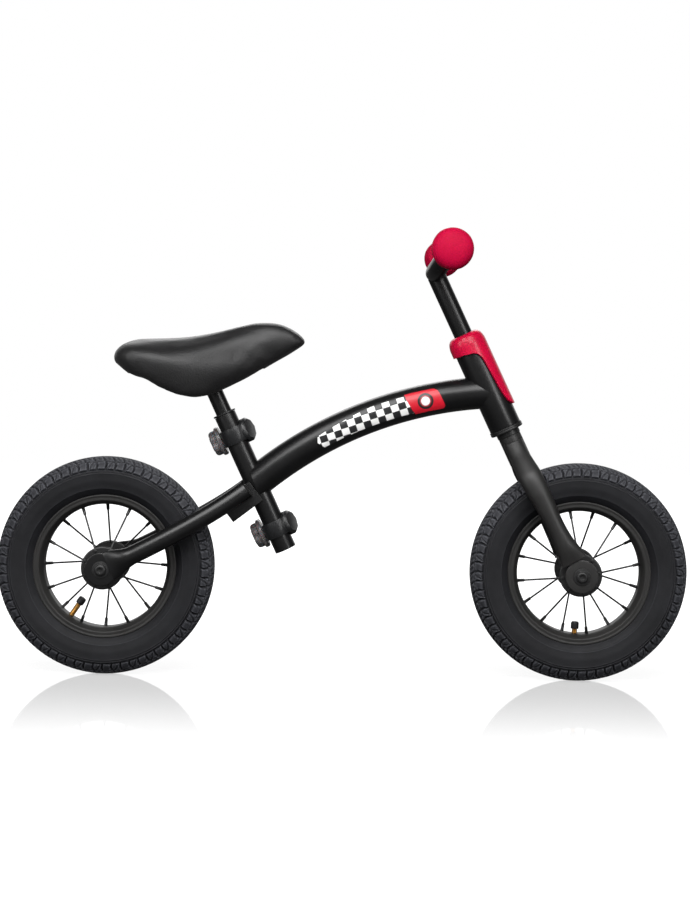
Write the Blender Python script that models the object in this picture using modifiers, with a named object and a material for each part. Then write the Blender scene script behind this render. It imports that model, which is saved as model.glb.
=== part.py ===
"""Balance bike: frame, steering, two spoked wheels and a height-adjustable saddle, as separate solids.

Metres, +Z up. +X is the bike's front, +Y its left side. X = 0 is halfway between the hubs, Z = 0 the ground.
"""
import math

import bmesh
import bpy
from mathutils import Vector

# ---- driving dimensions -------------------------------------------------------------------------------
GAP = 0.0003  # clearance between pieces that touch

# wheels
WHEEL_BASE = 0.556
WHEEL_RADIUS = 0.128
TYRE_WIDTH = 0.050
TYRE_WALL = 0.0035
TREAD_FLAT_WIDTH = 0.0112
TUBE_WALL = 0.0014
RIM_FLANGE_RADIUS = 0.084
RIM_FLANGE_HEIGHT = 0.005
RIM_FLANGE_THICKNESS = 0.0028
RIM_WELL_DEPTH = 0.0025
RIM_WELL_HALF_WIDTH = 0.008
RIM_OPENING_RADIUS = 0.0735
RIM_WIDTH = 0.034
HUB_FLANGE_RADIUS = 0.025
HUB_FLANGE_SPACING = 0.070
HUB_FLANGE_THICKNESS = 0.003
HUB_BARREL_RADIUS = 0.0125
OVER_LOCKNUT_WIDTH = 0.092
BEARING_RADIUS = 0.0095
BEARING_WIDTH = 0.007
AXLE_RADIUS = 0.005
AXLE_SHOULDER_RADIUS = 0.008
SPOKES_PER_SIDE = 8
SPOKE_RADIUS = 0.0011
NIPPLE_RADIUS = 0.0019
NIPPLE_LENGTH = 0.010
NIPPLE_SIDE = 0.004
SPOKE_PITCH_RADIUS = 0.0215
REAR_SPOKE_START = math.radians(22.5)
FRONT_SPOKE_START = math.radians(8.5)
VALVE_RADIUS = 0.0032
VALVE_THREAD_RADIUS = 0.0022
REAR_VALVE_TIP = 0.0470
FRONT_VALVE_TIP = 0.0585
VALVE_CAP_RADIUS = 0.0047
VALVE_CAP_LENGTH = 0.0085
VALVE_CAP_END = 0.0025
VALVE_SEAT_HEIGHT = 0.0015
REAR_VALVE_ANGLE = math.radians(236.2)
FRONT_VALVE_ANGLE = math.radians(267.5)

# axle fixings
DROPOUT_RADIUS = 0.020
DROPOUT_THICKNESS = 0.0045
AXLE_BOLT_HEAD_RADIUS = 0.0068
AXLE_BOLT_HEAD_HEIGHT = 0.0045
AXLE_BOLT_SHANK_RADIUS = 0.0028
AXLE_BOLT_SHANK_LENGTH = 0.016
AXLE_WASHER_RADIUS = 0.0098
AXLE_WASHER_THICKNESS = 0.0012

# steering
STEERING_LEAN = math.radians(25.4)
FORK_OFFSET = 0.007
HEAD_TUBE_RADIUS = 0.019
HEAD_TUBE_WALL = 0.002
HEAD_TUBE_LENGTH = 0.095
LOWER_CUP_RADIUS = 0.0200
CUP_RIM_HEIGHT = 0.0055
CUP_SKIRT_HEIGHT = 0.012
CUP_WALL = 0.0018
CUP_TO_STEM_CLAMP = 0.001
HEADSET_BEARING_HEIGHT = 0.006
STEERER_RADIUS = 0.0127
STEERER_WALL = 0.0013
CROWN_RADIUS = 0.0134
CROWN_NECK = 0.0335
CROWN_TO_CUP = 0.006
CROWN_RACE_RADIUS = 0.0140
TYRE_TO_CROWN = 0.018
STEM_RADIUS = 0.0110
STEM_WALL = 0.002
STEM_INSERTION = 0.070
STEM_EXPOSED = 0.080
STEM_CLAMP_RADIUS = 0.0165
STEM_CLAMP_HEIGHT = 0.011
STEM_CLAMP_SLIT = 0.0016
STEM_CLAMP_BOLT_RADIUS = 0.0012
COVER_WALL = 0.0029
STEM_CLAMP_TO_COVER = 0.004
COVER_COLLAR_HEIGHT = 0.026
COVER_TOP_WALL = 0.003
COVER_SHIELD_LENGTH = 0.098
COVER_STEM_CLEARANCE = 0.0008

# fork blades
CROWN_BLADE_DEPTH = 0.0118
BLADE_BULGE_DEPTH = 0.0140
BLADE_WAIST_DEPTH = 0.0108
BLADE_HALF_WIDTH = 0.0105
BLADE_OVERLAP = 0.026
BLADE_TOP_SIDE = 0.010
TYRE_TO_BLADE = 0.006

# handlebar
BAR_RADIUS = 0.0110
BAR_WALL = 0.002
HANDLEBAR_HALF_WIDTH = 0.195
BAR_SWEEP = 0.0215
BAR_RISE = 0.0108
GRIP_LENGTH = 0.105
GRIP_BODY_RADIUS = 0.0150
GRIP_FLANGE_RADIUS = 0.0200
GRIP_BULB_RADIUS = 0.0232
GRIP_BULB_LENGTH = 0.026
GRIP_END_WALL = 0.006

# frame
MAIN_TUBE_RADIUS = 0.019
MAIN_TUBE_WALL = 0.0018
MAIN_TUBE_ARC_RADIUS = 0.4624
MAIN_TUBE_ABOVE_HEAD_BOTTOM = 0.0446
SEAT_TUBE_LEAN = math.radians(25.2)
SEAT_TUBE_AHEAD_OF_TYRE = 0.0465
SEAT_TUBE_AHEAD_OF_HUB = WHEEL_RADIUS + SEAT_TUBE_AHEAD_OF_TYRE
SEAT_TUBE_ABOVE_HUB = 0.0995
SEAT_TUBE_RADIUS = 0.0127
SEAT_TUBE_WALL = 0.0013
SEAT_TUBE_UP = 0.0880
SEAT_TUBE_DOWN = 0.0863
BUSH_LIP_RADIUS = 0.0136
BUSH_LIP_HEIGHT = 0.002
BUSH_DEPTH = 0.035
SEAT_SLOT_WIDTH = 0.002
SEAT_SLOT_LENGTH = 0.040
YOKE_HALF_WIDTH = 0.015
YOKE_REACH = 0.0476
YOKE_TOP = 0.006
YOKE_BOTTOM = 0.0214
YOKE_SLOPE = math.radians(12.4)
STAY_RADIUS = 0.0107
STAY_FRONT_SIDE = 0.023
STAY_FRONT_BACK = 0.009
STAY_FRONT_DROP = 0.0056
STAY_FRONT_SLOPE = math.radians(39)
STAY_REAR_SLOPE = math.radians(24.5)
STAY_FLATTENING_START = 0.76

# seat post and saddle
POST_RADIUS = 0.0095
POST_WALL = 0.0015
POST_TOP = 0.155
POST_LENGTH = 0.177
SADDLE_HALF_WIDTH = 0.064
SADDLE_PADDING = 0.014
SADDLE_BASE_WALL = 0.005
SADDLE_BASE_RIM = 0.020
SADDLE_SOCKET_WALL = 0.004
SADDLE_SOCKET_LENGTH = 0.034
SADDLE_BOLT_RADIUS = 0.0025
SADDLE_BOLT_HEAD_RADIUS = 0.0045
SADDLE_BOLT_HEAD_HEIGHT = 0.003
SADDLE_BOLT_BELOW_TOP = 0.018

# height clamps
CLAMP_FROM_END = 0.0272
CLAMP_WALL = 0.0024
CLAMP_HEIGHT = 0.019
CLAMP_EAR_HALF_LENGTH = 0.0115
CLAMP_EAR_DEPTH = 0.0062
CLAMP_SLIT = 0.002
CLAMP_BOLT_RADIUS = 0.0025
CLAMP_BOLT_HEAD_RADIUS = 0.0045
CLAMP_BOLT_HEAD_HEIGHT = 0.003
CLAMP_BOSS_RADIUS = 0.0155
CLAMP_BOSS_START = 0.0045
CLAMP_BOSS_END = 0.0225
CLAMP_BOSS_SIDE = 0.009
KNOB_RADIUS = 0.0175
KNOB_LOBES = 6
KNOB_STEPS = 24
KNOB_LOBE_DEPTH = 0.0022
KNOB_FLANGE_THICKNESS = 0.006
KNOB_GRIP_RADIUS = 0.0150
KNOB_LENGTH = 0.0142
KNOB_THREAD_DEPTH = 0.010

# ---- derived places -----------------------------------------------------------------------------------
HALF_BASE = WHEEL_BASE / 2
STEER_FORWARD = Vector((math.cos(STEERING_LEAN), 0, math.sin(STEERING_LEAN)))
STEER_UP = Vector((-math.sin(STEERING_LEAN), 0, math.cos(STEERING_LEAN)))
FRONT_HUB = Vector((HALF_BASE, 0, WHEEL_RADIUS))
REAR_HUB = Vector((-HALF_BASE, 0, WHEEL_RADIUS))
STEER_ORIGIN = FRONT_HUB - FORK_OFFSET * STEER_FORWARD
SEAT_CROSSING = REAR_HUB + Vector((SEAT_TUBE_AHEAD_OF_HUB, 0, SEAT_TUBE_ABOVE_HUB))

STEERER_BOTTOM = WHEEL_RADIUS + TYRE_TO_CROWN
CROWN_TOP = STEERER_BOTTOM + CROWN_NECK
HEAD_TUBE_BOTTOM = CROWN_TOP + CROWN_TO_CUP + CUP_RIM_HEIGHT
HEAD_TUBE_TOP = HEAD_TUBE_BOTTOM + HEAD_TUBE_LENGTH
HEAD_TUBE_BORE = HEAD_TUBE_RADIUS - HEAD_TUBE_WALL
CUP_BORE = HEAD_TUBE_BORE - GAP - CUP_WALL
CLAMP_BOTTOM = HEAD_TUBE_TOP + CUP_RIM_HEIGHT + CUP_TO_STEM_CLAMP
STEERER_TOP = CLAMP_BOTTOM + STEM_CLAMP_HEIGHT
STEERER_BORE = STEERER_RADIUS - STEERER_WALL
COVER_TOP = STEERER_TOP + STEM_CLAMP_TO_COVER + COVER_TOP_WALL
STEM_TOP = COVER_TOP + STEM_EXPOSED

SEAT_TUBE_BORE = SEAT_TUBE_RADIUS - SEAT_TUBE_WALL
DROPOUT_SIDE = OVER_LOCKNUT_WIDTH / 2 + GAP + DROPOUT_THICKNESS / 2
BEAD_SEAT_RADIUS = RIM_FLANGE_RADIUS - RIM_FLANGE_HEIGHT
BEAD_SIDE = RIM_WIDTH / 2 - RIM_FLANGE_THICKNESS
TYRE_SECTION_RADIUS = TYRE_WIDTH / 2
TYRE_CENTRE_RADIUS = WHEEL_RADIUS - TYRE_SECTION_RADIUS
CLAMP_BORE = SEAT_TUBE_RADIUS + GAP
CLAMP_OUTER = CLAMP_BORE + CLAMP_WALL
CLAMP_BOLT_SIDE = CLAMP_OUTER + CLAMP_BOLT_RADIUS

PARTS = "balance_bike"
CUTTERS = "cutters"


# ---- scene helpers ------------------------------------------------------------------------------------
def clear_scene():
    for item in list(bpy.data.objects):
        bpy.data.objects.remove(item, do_unlink=True)


def new_collection(name):
    collection = bpy.data.collections.new(name)
    bpy.context.scene.collection.children.link(collection)
    return collection


def make_material(name, colour, roughness, metallic=0.0):
    material = bpy.data.materials.new(name)
    material.use_nodes = True
    shader = material.node_tree.nodes["Principled BSDF"]
    shader.inputs["Base Color"].default_value = (*colour, 1)
    shader.inputs["Roughness"].default_value = roughness
    shader.inputs["Metallic"].default_value = metallic
    material.diffuse_color = (*colour, 1)
    return material


def add_empty(name, place, lean=0.0, parent=None):
    empty = bpy.data.objects.new(name, None)
    bpy.data.collections[PARTS].objects.link(empty)
    empty.parent = parent
    empty.location = place
    empty.rotation_euler = (0, -lean, 0)
    return empty


def add_mesh(name, mesh, material, parent=None, place=(0, 0, 0), turn=(0, 0, 0), collection=PARTS):
    item = bpy.data.objects.new(name, mesh)
    bpy.data.collections[collection].objects.link(item)
    if material:
        mesh.materials.append(material)
    item.parent = parent
    item.location = place
    item.rotation_euler = turn
    return item


def hide_cutter(item):
    item.hide_render = True
    item.display_type = "WIRE"
    return item


def face_out(mesh_edit):
    bmesh.ops.recalc_face_normals(mesh_edit, faces=mesh_edit.faces)


# ---- shape helpers ------------------------------------------------------------------------------------
def screwed(name, profile, material, parent, place=(0, 0, 0), turn=(0, 0, 0), steps=24, collection=PARTS):
    """Turn a closed (radius, height) outline about local Z. The outline runs clockwise."""
    mesh = bpy.data.meshes.new(name)
    area = sum(a[0] * b[1] - b[0] * a[1] for a, b in zip(profile, profile[1:] + profile[:1]))
    points = profile if area < 0 else profile[::-1]
    on_axis = [index for index, point in enumerate(points) if point[0] < 1e-6]
    edges = [(index, (index + 1) % len(points)) for index in range(len(points))]
    edges = [edge for edge in edges if not (edge[0] in on_axis and edge[1] in on_axis)]
    mesh.from_pydata([(radius, 0, height) for radius, height in points], edges, [])
    item = add_mesh(name, mesh, material, parent, place, turn, collection)
    screw = item.modifiers.new("Turn", "SCREW")
    screw.axis = "Z"
    screw.steps = steps
    screw.render_steps = steps
    screw.use_merge_vertices = True
    screw.merge_threshold = 0.00001
    return item


def ring_outline(outer, inner, low, high):
    """A washer section, from low to high."""
    return [(inner, high), (outer, high), (outer, low), (inner, low)]


def pin_outline(radius, low, high):
    """A solid rod section."""
    return ring_outline(radius, 0.0, low, high)


def swept_mesh(name, points, radius, sides, radii=None):
    """A round tube along points, as a mesh with welded caps."""
    curve = bpy.data.curves.new(name, "CURVE")
    curve.dimensions = "3D"
    curve.bevel_depth = radius
    curve.bevel_resolution = (sides - 4) // 2
    curve.use_fill_caps = True
    curve.resolution_u = 6
    spline = curve.splines.new("POLY")
    spline.points.add(len(points) - 1)
    for index, point in enumerate(points):
        spline.points[index].co = (*point, 1)
        if radii:
            spline.points[index].radius = radii[index] / radius
    source = bpy.data.objects.new(name + "_curve", curve)
    bpy.context.scene.collection.objects.link(source)
    depsgraph = bpy.context.evaluated_depsgraph_get()
    mesh = bpy.data.meshes.new_from_object(source.evaluated_get(depsgraph))
    bpy.data.objects.remove(source, do_unlink=True)
    weld(mesh)
    return mesh


def weld(mesh):
    edit = bmesh.new()
    edit.from_mesh(mesh)
    bmesh.ops.remove_doubles(edit, verts=edit.verts, dist=0.00001)
    face_out(edit)
    edit.to_mesh(mesh)
    edit.free()


def cylinder_mesh(name, radius, low, high, sides=24):
    mesh = bpy.data.meshes.new(name)
    edit = bmesh.new()
    bmesh.ops.create_cone(
        edit, cap_ends=True, segments=sides, radius1=radius, radius2=radius, depth=high - low)
    bmesh.ops.translate(edit, verts=edit.verts, vec=(0, 0, (low + high) / 2))
    edit.to_mesh(mesh)
    edit.free()
    return mesh


def box_mesh(name, low, high):
    mesh = bpy.data.meshes.new(name)
    edit = bmesh.new()
    bmesh.ops.create_cube(edit, size=1.0)
    size = [b - a for a, b in zip(low, high)]
    bmesh.ops.scale(edit, verts=edit.verts, vec=size)
    bmesh.ops.translate(edit, verts=edit.verts, vec=[(a + b) / 2 for a, b in zip(low, high)])
    edit.to_mesh(mesh)
    edit.free()
    return mesh


def loft_mesh(name, sections):
    """Join rings with the same number of points, and close both ends."""
    mesh = bpy.data.meshes.new(name)
    edit = bmesh.new()
    rings = [[edit.verts.new(point) for point in section] for section in sections]
    count = len(rings[0])
    for ring, following in zip(rings, rings[1:]):
        for index in range(count):
            after = (index + 1) % count
            edit.faces.new((ring[index], ring[after], following[after], following[index]))
    edit.faces.new(rings[0])
    edit.faces.new(rings[-1])
    face_out(edit)
    edit.to_mesh(mesh)
    edit.free()
    return mesh


def cutter(name, mesh, parent=None, place=(0, 0, 0), turn=(0, 0, 0)):
    return hide_cutter(add_mesh(name, mesh, None, parent, place, turn, CUTTERS))


def boolean(item, tool, operation="DIFFERENCE"):
    step = item.modifiers.new(tool.name, "BOOLEAN")
    step.object = tool
    step.operation = operation
    step.solver = "EXACT"
    return item


def bevel(item, width):
    step = item.modifiers.new("Rounding", "BEVEL")
    step.width = width
    step.segments = 1
    step.limit_method = "ANGLE"
    step.angle_limit = math.radians(40)
    return item


def arc_points(centre, radius, start, end, count):
    """Points in the XZ plane on an arc, from one angle to another."""
    angles = [start + (end - start) * index / (count - 1) for index in range(count)]
    return [Vector((centre[0] + radius * math.cos(a), 0, centre[1] + radius * math.sin(a))) for a in angles]


def steer_point(forward, height, side=0.0):
    return STEER_ORIGIN + forward * STEER_FORWARD + height * STEER_UP + Vector((0, side, 0))


# ---- wheels -------------------------------------------------------------------------------------------
WHEEL_TURN = (math.pi / 2, 0, 0)
WHEEL_STEPS = 32
HUB_STEPS = 16
MOUTH = math.radians(130)
TREAD_EDGE = math.radians(20)
TREAD_SHOULDER = math.radians(35)


def section_arc(radius, start, end, count):
    """Points on the tyre's round section, angle 0 pointing away from the hub."""
    angles = [start + (end - start) * index / (count - 1) for index in range(count)]
    return [(TYRE_CENTRE_RADIUS + radius * math.cos(a), radius * math.sin(a)) for a in angles]


def mirrored(points):
    """An outline's upper points, then the same points below the mid-plane in reverse."""
    return points + [(radius, -side) for radius, side in reversed(points)]


def wheel_ring(name, outline, material, axis, collection=PARTS):
    """Turn a ring whose flat sides, one of them at the bottom, lie at the outline's radii."""
    grown = [(radius / math.cos(math.pi / WHEEL_STEPS), side) for radius, side in outline]
    turn = (0, 0, math.pi / WHEEL_STEPS)
    return screwed(name, grown, material, axis, (0, 0, 0), turn, WHEEL_STEPS, collection)


def tyre_outline():
    outer_bead = [
        (BEAD_SEAT_RADIUS + GAP, BEAD_SIDE - 0.004), (BEAD_SEAT_RADIUS + GAP, BEAD_SIDE - GAP),
        (RIM_FLANGE_RADIUS, BEAD_SIDE - GAP), (RIM_FLANGE_RADIUS + 0.001, RIM_WIDTH / 2 - 0.001)]
    inner_bead = [(RIM_FLANGE_RADIUS, BEAD_SIDE - 0.0028)]
    tread = [(WHEEL_RADIUS, TREAD_FLAT_WIDTH / 2)]
    outside = outer_bead + section_arc(TYRE_SECTION_RADIUS, MOUTH, TREAD_SHOULDER, 3) + tread
    inside = inner_bead + section_arc(TYRE_SECTION_RADIUS - TYRE_WALL, MOUTH, TREAD_EDGE, 3)
    return mirrored(outside) + [(radius, -side) for radius, side in inside] + inside[::-1]


def tube_outline(inset):
    radius = TYRE_SECTION_RADIUS - TYRE_WALL - 2 * GAP - inset
    upper = [
        (BEAD_SEAT_RADIUS + 3 * GAP + inset, BEAD_SIDE - 0.0055 - inset),
        (RIM_FLANGE_RADIUS + 0.001, BEAD_SIDE - 0.0042 - inset)]
    return mirrored(upper + section_arc(radius, MOUTH, TREAD_EDGE, 3))


def rim_outline():
    """A box-section rim whose two flanges rise beside the tyre's beads."""
    half = RIM_WIDTH / 2
    upper = [
        (BEAD_SEAT_RADIUS - RIM_WELL_DEPTH, RIM_WELL_HALF_WIDTH), (BEAD_SEAT_RADIUS, BEAD_SIDE - 0.004),
        (BEAD_SEAT_RADIUS, BEAD_SIDE), (RIM_FLANGE_RADIUS, BEAD_SIDE + 0.0006), (RIM_FLANGE_RADIUS, half),
        (RIM_FLANGE_RADIUS - 0.007, half), (RIM_OPENING_RADIUS, half * 0.55)]
    return mirrored(upper)


def wheel_point(radius, angle, side):
    return Vector((radius * math.cos(angle), radius * math.sin(angle), side))


def valve_turn(angle):
    """Aim local +Z from the rim towards the hub, inside the wheel's own frame."""
    return Vector((-math.cos(angle), -math.sin(angle), 0)).to_track_quat("Z", "Y").to_euler()


def build_spoke_set(name, axis, side, start, material):
    """One pressed hub flange and the spokes that it holds, their nipples at the rim."""
    face = side * HUB_FLANGE_SPACING / 2
    low, high = face - HUB_FLANGE_THICKNESS / 2, face + HUB_FLANGE_THICKNESS / 2
    outline = ring_outline(HUB_FLANGE_RADIUS, BEARING_RADIUS + GAP, low, high)
    flange = screwed(name, outline, material, axis, steps=HUB_STEPS)
    rim_end = RIM_OPENING_RADIUS - GAP
    for index in range(SPOKES_PER_SIDE):
        angle = start + index * 2 * math.pi / SPOKES_PER_SIDE
        hub_end = wheel_point(SPOKE_PITCH_RADIUS, angle, face)
        outer_end = wheel_point(rim_end, angle, side * NIPPLE_SIDE)
        along = (outer_end - hub_end).normalized()
        slant = math.sqrt(1 - along.dot(wheel_point(1, angle, 0)) ** 2)
        outer_end -= along * NIPPLE_RADIUS * slant
        collar = outer_end - along * NIPPLE_LENGTH
        points = [hub_end, collar, collar + along * 0.0005, outer_end]
        radii = [SPOKE_RADIUS, SPOKE_RADIUS, NIPPLE_RADIUS, NIPPLE_RADIUS]
        mesh = swept_mesh(f"{name}_spoke_{index}", points, SPOKE_RADIUS, 6, radii)
        boolean(flange, cutter(f"{name}_spoke_{index}", mesh, axis), "UNION")
    return flange


def build_valve(prefix, axis, angle, tip_radius, materials, rim, tube):
    base_radius = BEAD_SEAT_RADIUS + VALVE_SEAT_HEIGHT
    place = wheel_point(base_radius, angle, 0)
    turn = valve_turn(angle)
    tip = base_radius - tip_radius
    shoulder = tip - VALVE_CAP_LENGTH
    thread_end = tip - VALVE_CAP_END - GAP
    outline = [
        (0, 0), (VALVE_RADIUS, 0), (VALVE_RADIUS, shoulder - GAP), (VALVE_THREAD_RADIUS, shoulder - GAP),
        (VALVE_THREAD_RADIUS, thread_end), (0, thread_end)]
    screwed(prefix + "_valve", outline, materials["brass"], axis, place, turn, steps=12)
    bore = VALVE_THREAD_RADIUS + GAP
    cap = [
        (bore, shoulder), (VALVE_CAP_RADIUS, shoulder), (VALVE_CAP_RADIUS, tip - 0.001),
        (VALVE_CAP_RADIUS - 0.001, tip), (0, tip), (0, tip - VALVE_CAP_END), (bore, tip - VALVE_CAP_END)]
    screwed(prefix + "_valve_cap", cap, materials["black"], axis, place, turn, steps=12)
    hole = cylinder_mesh(prefix + "_valve_hole", VALVE_RADIUS + GAP, -0.0035, 0.012, 12)
    tool = cutter(prefix + "_valve_hole", hole, axis, place, turn)
    boolean(rim, tool)
    boolean(tube, tool)


def build_wheel(prefix, hub, parent, spoke_start, valve_angle, valve_tip, materials):
    axis = add_empty(prefix + "_wheel_axis", hub, parent=None)
    axis.rotation_euler = WHEEL_TURN
    if parent:
        axis.parent = parent
        axis.matrix_parent_inverse = parent_inverse(parent)
    wheel_ring(prefix + "_tyre", tyre_outline(), materials["tyre"], axis)
    tube = wheel_ring(prefix + "_inner_tube", tube_outline(0), materials["rubber"], axis)
    hollow = wheel_ring(prefix + "_tube_hollow", tube_outline(TUBE_WALL), None, axis, CUTTERS)
    boolean(tube, hide_cutter(hollow))
    rim = wheel_ring(prefix + "_rim", rim_outline(), materials["dark"], axis)
    build_valve(prefix, axis, valve_angle, valve_tip, materials, rim, tube)
    inner = HUB_FLANGE_SPACING / 2 - HUB_FLANGE_THICKNESS / 2 - GAP
    barrel = ring_outline(HUB_BARREL_RADIUS, BEARING_RADIUS + GAP, -inner, inner)
    screwed(prefix + "_hub_barrel", barrel, materials["steel_black"], axis, steps=HUB_STEPS)
    pitch = math.pi / SPOKES_PER_SIDE
    build_spoke_set(prefix + "_spokes_right", axis, 1, spoke_start, materials["steel_black"])
    build_spoke_set(prefix + "_spokes_left", axis, -1, spoke_start + pitch, materials["steel_black"])
    high = HUB_FLANGE_SPACING / 2 + HUB_FLANGE_THICKNESS / 2
    for name, side in (("right", 1), ("left", -1)):
        low_end, high_end = sorted((side * high, side * (high - BEARING_WIDTH)))
        bearing = ring_outline(BEARING_RADIUS, AXLE_RADIUS + GAP, low_end, high_end)
        screwed(f"{prefix}_bearing_{name}", bearing, materials["steel"], axis, steps=HUB_STEPS)


def build_axle(prefix, hub, parent, materials):
    """The fixed axle between the dropouts, and the flanged bolt at each end."""
    axis = add_empty(prefix + "_axle_axis", hub)
    axis.rotation_euler = WHEEL_TURN
    if parent:
        axis.parent = parent
        axis.matrix_parent_inverse = parent_inverse(parent)
    end = OVER_LOCKNUT_WIDTH / 2
    shoulder = HUB_FLANGE_SPACING / 2 + HUB_FLANGE_THICKNESS / 2 + GAP
    thread = AXLE_BOLT_SHANK_RADIUS + GAP
    depth = end - AXLE_BOLT_SHANK_LENGTH
    upper = [
        (0, depth), (thread, depth), (thread, end), (AXLE_SHOULDER_RADIUS, end),
        (AXLE_SHOULDER_RADIUS, shoulder), (AXLE_RADIUS, shoulder)]
    screwed(prefix + "_axle", mirrored(upper), materials["steel"], axis, steps=HUB_STEPS)
    washer_low = DROPOUT_SIDE + DROPOUT_THICKNESS / 2 + GAP
    washer_high = washer_low + AXLE_WASHER_THICKNESS
    top = washer_high + AXLE_BOLT_HEAD_HEIGHT
    recess = AXLE_BOLT_HEAD_RADIUS * 0.45
    bolt = [
        (0, depth + 2 * GAP), (AXLE_BOLT_SHANK_RADIUS, depth + 2 * GAP), (AXLE_BOLT_SHANK_RADIUS, washer_low),
        (AXLE_WASHER_RADIUS, washer_low), (AXLE_WASHER_RADIUS, washer_high),
        (AXLE_BOLT_HEAD_RADIUS, washer_high),
        (AXLE_BOLT_HEAD_RADIUS, top - 0.0015), (AXLE_BOLT_HEAD_RADIUS - 0.0015, top), (recess, top),
        (recess, top - 0.0025), (0, top - 0.0025)]
    screwed(prefix + "_axle_bolt_right", bolt, materials["steel_black"], axis, steps=HUB_STEPS)
    flipped = [(radius, -height) for radius, height in bolt]
    screwed(prefix + "_axle_bolt_left", flipped, materials["steel_black"], axis, steps=HUB_STEPS)


# ---- fork and rear stays ------------------------------------------------------------------------------
def flat_blade(name, stations, steps=16):
    """Loft oval sections along stations of (centre, half depth in the side view, half width across)."""
    sections = []
    last = len(stations) - 1
    for index, (centre, depth, width) in enumerate(stations):
        before = stations[max(index - 1, 0)][0]
        after = stations[min(index + 1, last)][0]
        along = Vector((after.x - before.x, 0, after.z - before.z)).normalized()
        normal = Vector((along.z, 0, -along.x))
        angles = [2 * math.pi * (step + 0.5) / steps for step in range(steps)]
        sections.append(
            [centre + normal * depth * math.cos(a) + Vector((0, width * math.sin(a), 0)) for a in angles])
    return loft_mesh(name, sections)


def blend(start, end, amount):
    return start + (end - start) * amount


def ease(value):
    value = min(max(value, 0.0), 1.0)
    return value * value * (3 - 2 * value)


def dropout_tools(prefix, side, parent, place):
    """The wheel-end disc to join on, and the axle bolt's hole to cut."""
    low = side * DROPOUT_SIDE - DROPOUT_THICKNESS / 2
    disc = cylinder_mesh(prefix + "_disc", DROPOUT_RADIUS, -low - DROPOUT_THICKNESS, -low, 24)
    hole = cylinder_mesh(prefix + "_hole", AXLE_BOLT_SHANK_RADIUS + GAP, -0.08, 0.08, 24)
    return (
        cutter(prefix + "_disc", disc, parent, place, WHEEL_TURN),
        cutter(prefix + "_hole", hole, parent, place, WHEEL_TURN))


def build_fork_blade(name, side, parent, material, steerer_cut):
    at_tyre = TYRE_WIDTH / 2 + TYRE_TO_BLADE + BLADE_HALF_WIDTH
    top = STEERER_BOTTOM + BLADE_OVERLAP
    flat = DROPOUT_THICKNESS / 2
    bulge = WHEEL_RADIUS - 0.006
    full = BLADE_HALF_WIDTH
    outline = (
        # height, forward, side, half depth, half width
        (top, 0.0, BLADE_TOP_SIDE, CROWN_BLADE_DEPTH, BLADE_HALF_WIDTH - 0.001),
        (blend(bulge, top, 0.72), 0.0, blend(BLADE_TOP_SIDE, at_tyre, 0.24), CROWN_BLADE_DEPTH, full),
        (blend(bulge, top, 0.44), 0.0005, blend(BLADE_TOP_SIDE, at_tyre, 0.60), 0.0128, full),
        (blend(bulge, top, 0.16), 0.0010, blend(BLADE_TOP_SIDE, at_tyre, 0.90), BLADE_BULGE_DEPTH, full),
        (bulge - 0.010, 0.0018, at_tyre + 0.0015, BLADE_BULGE_DEPTH - 0.0008, BLADE_HALF_WIDTH),
        (bulge * 0.78, 0.0028, blend(at_tyre, DROPOUT_SIDE, 0.40), 0.0120, BLADE_HALF_WIDTH),
        (bulge * 0.57, 0.0033, blend(at_tyre, DROPOUT_SIDE, 0.60), BLADE_WAIST_DEPTH, BLADE_HALF_WIDTH),
        (bulge * 0.39, 0.0045, blend(at_tyre, DROPOUT_SIDE, 0.78), 0.0110, BLADE_HALF_WIDTH - 0.0010),
        (bulge * 0.28, 0.0060, blend(at_tyre, DROPOUT_SIDE, 0.92), 0.0130, BLADE_HALF_WIDTH * 0.60),
        (bulge * 0.19, 0.0068, DROPOUT_SIDE, 0.0160, flat * 1.35),
        (bulge * 0.10, FORK_OFFSET, DROPOUT_SIDE, DROPOUT_RADIUS * 0.90, flat),
        (0.0, FORK_OFFSET, DROPOUT_SIDE, DROPOUT_RADIUS * 0.96, flat))
    stations = [
        (Vector((forward, side * across, height)), depth, width)
        for height, forward, across, depth, width in outline]
    blade = add_mesh(name, flat_blade(name, stations), material, parent)
    disc, hole = dropout_tools(name, side, parent, (FORK_OFFSET, 0, 0))
    boolean(blade, disc, "UNION")
    boolean(blade, steerer_cut)
    boolean(blade, hole)
    return blade


def bezier(points, amount):
    a, b, c, d = points
    rest = 1 - amount
    return a * rest ** 3 + b * 3 * rest * rest * amount + c * 3 * rest * amount ** 2 + d * amount ** 3


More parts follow.
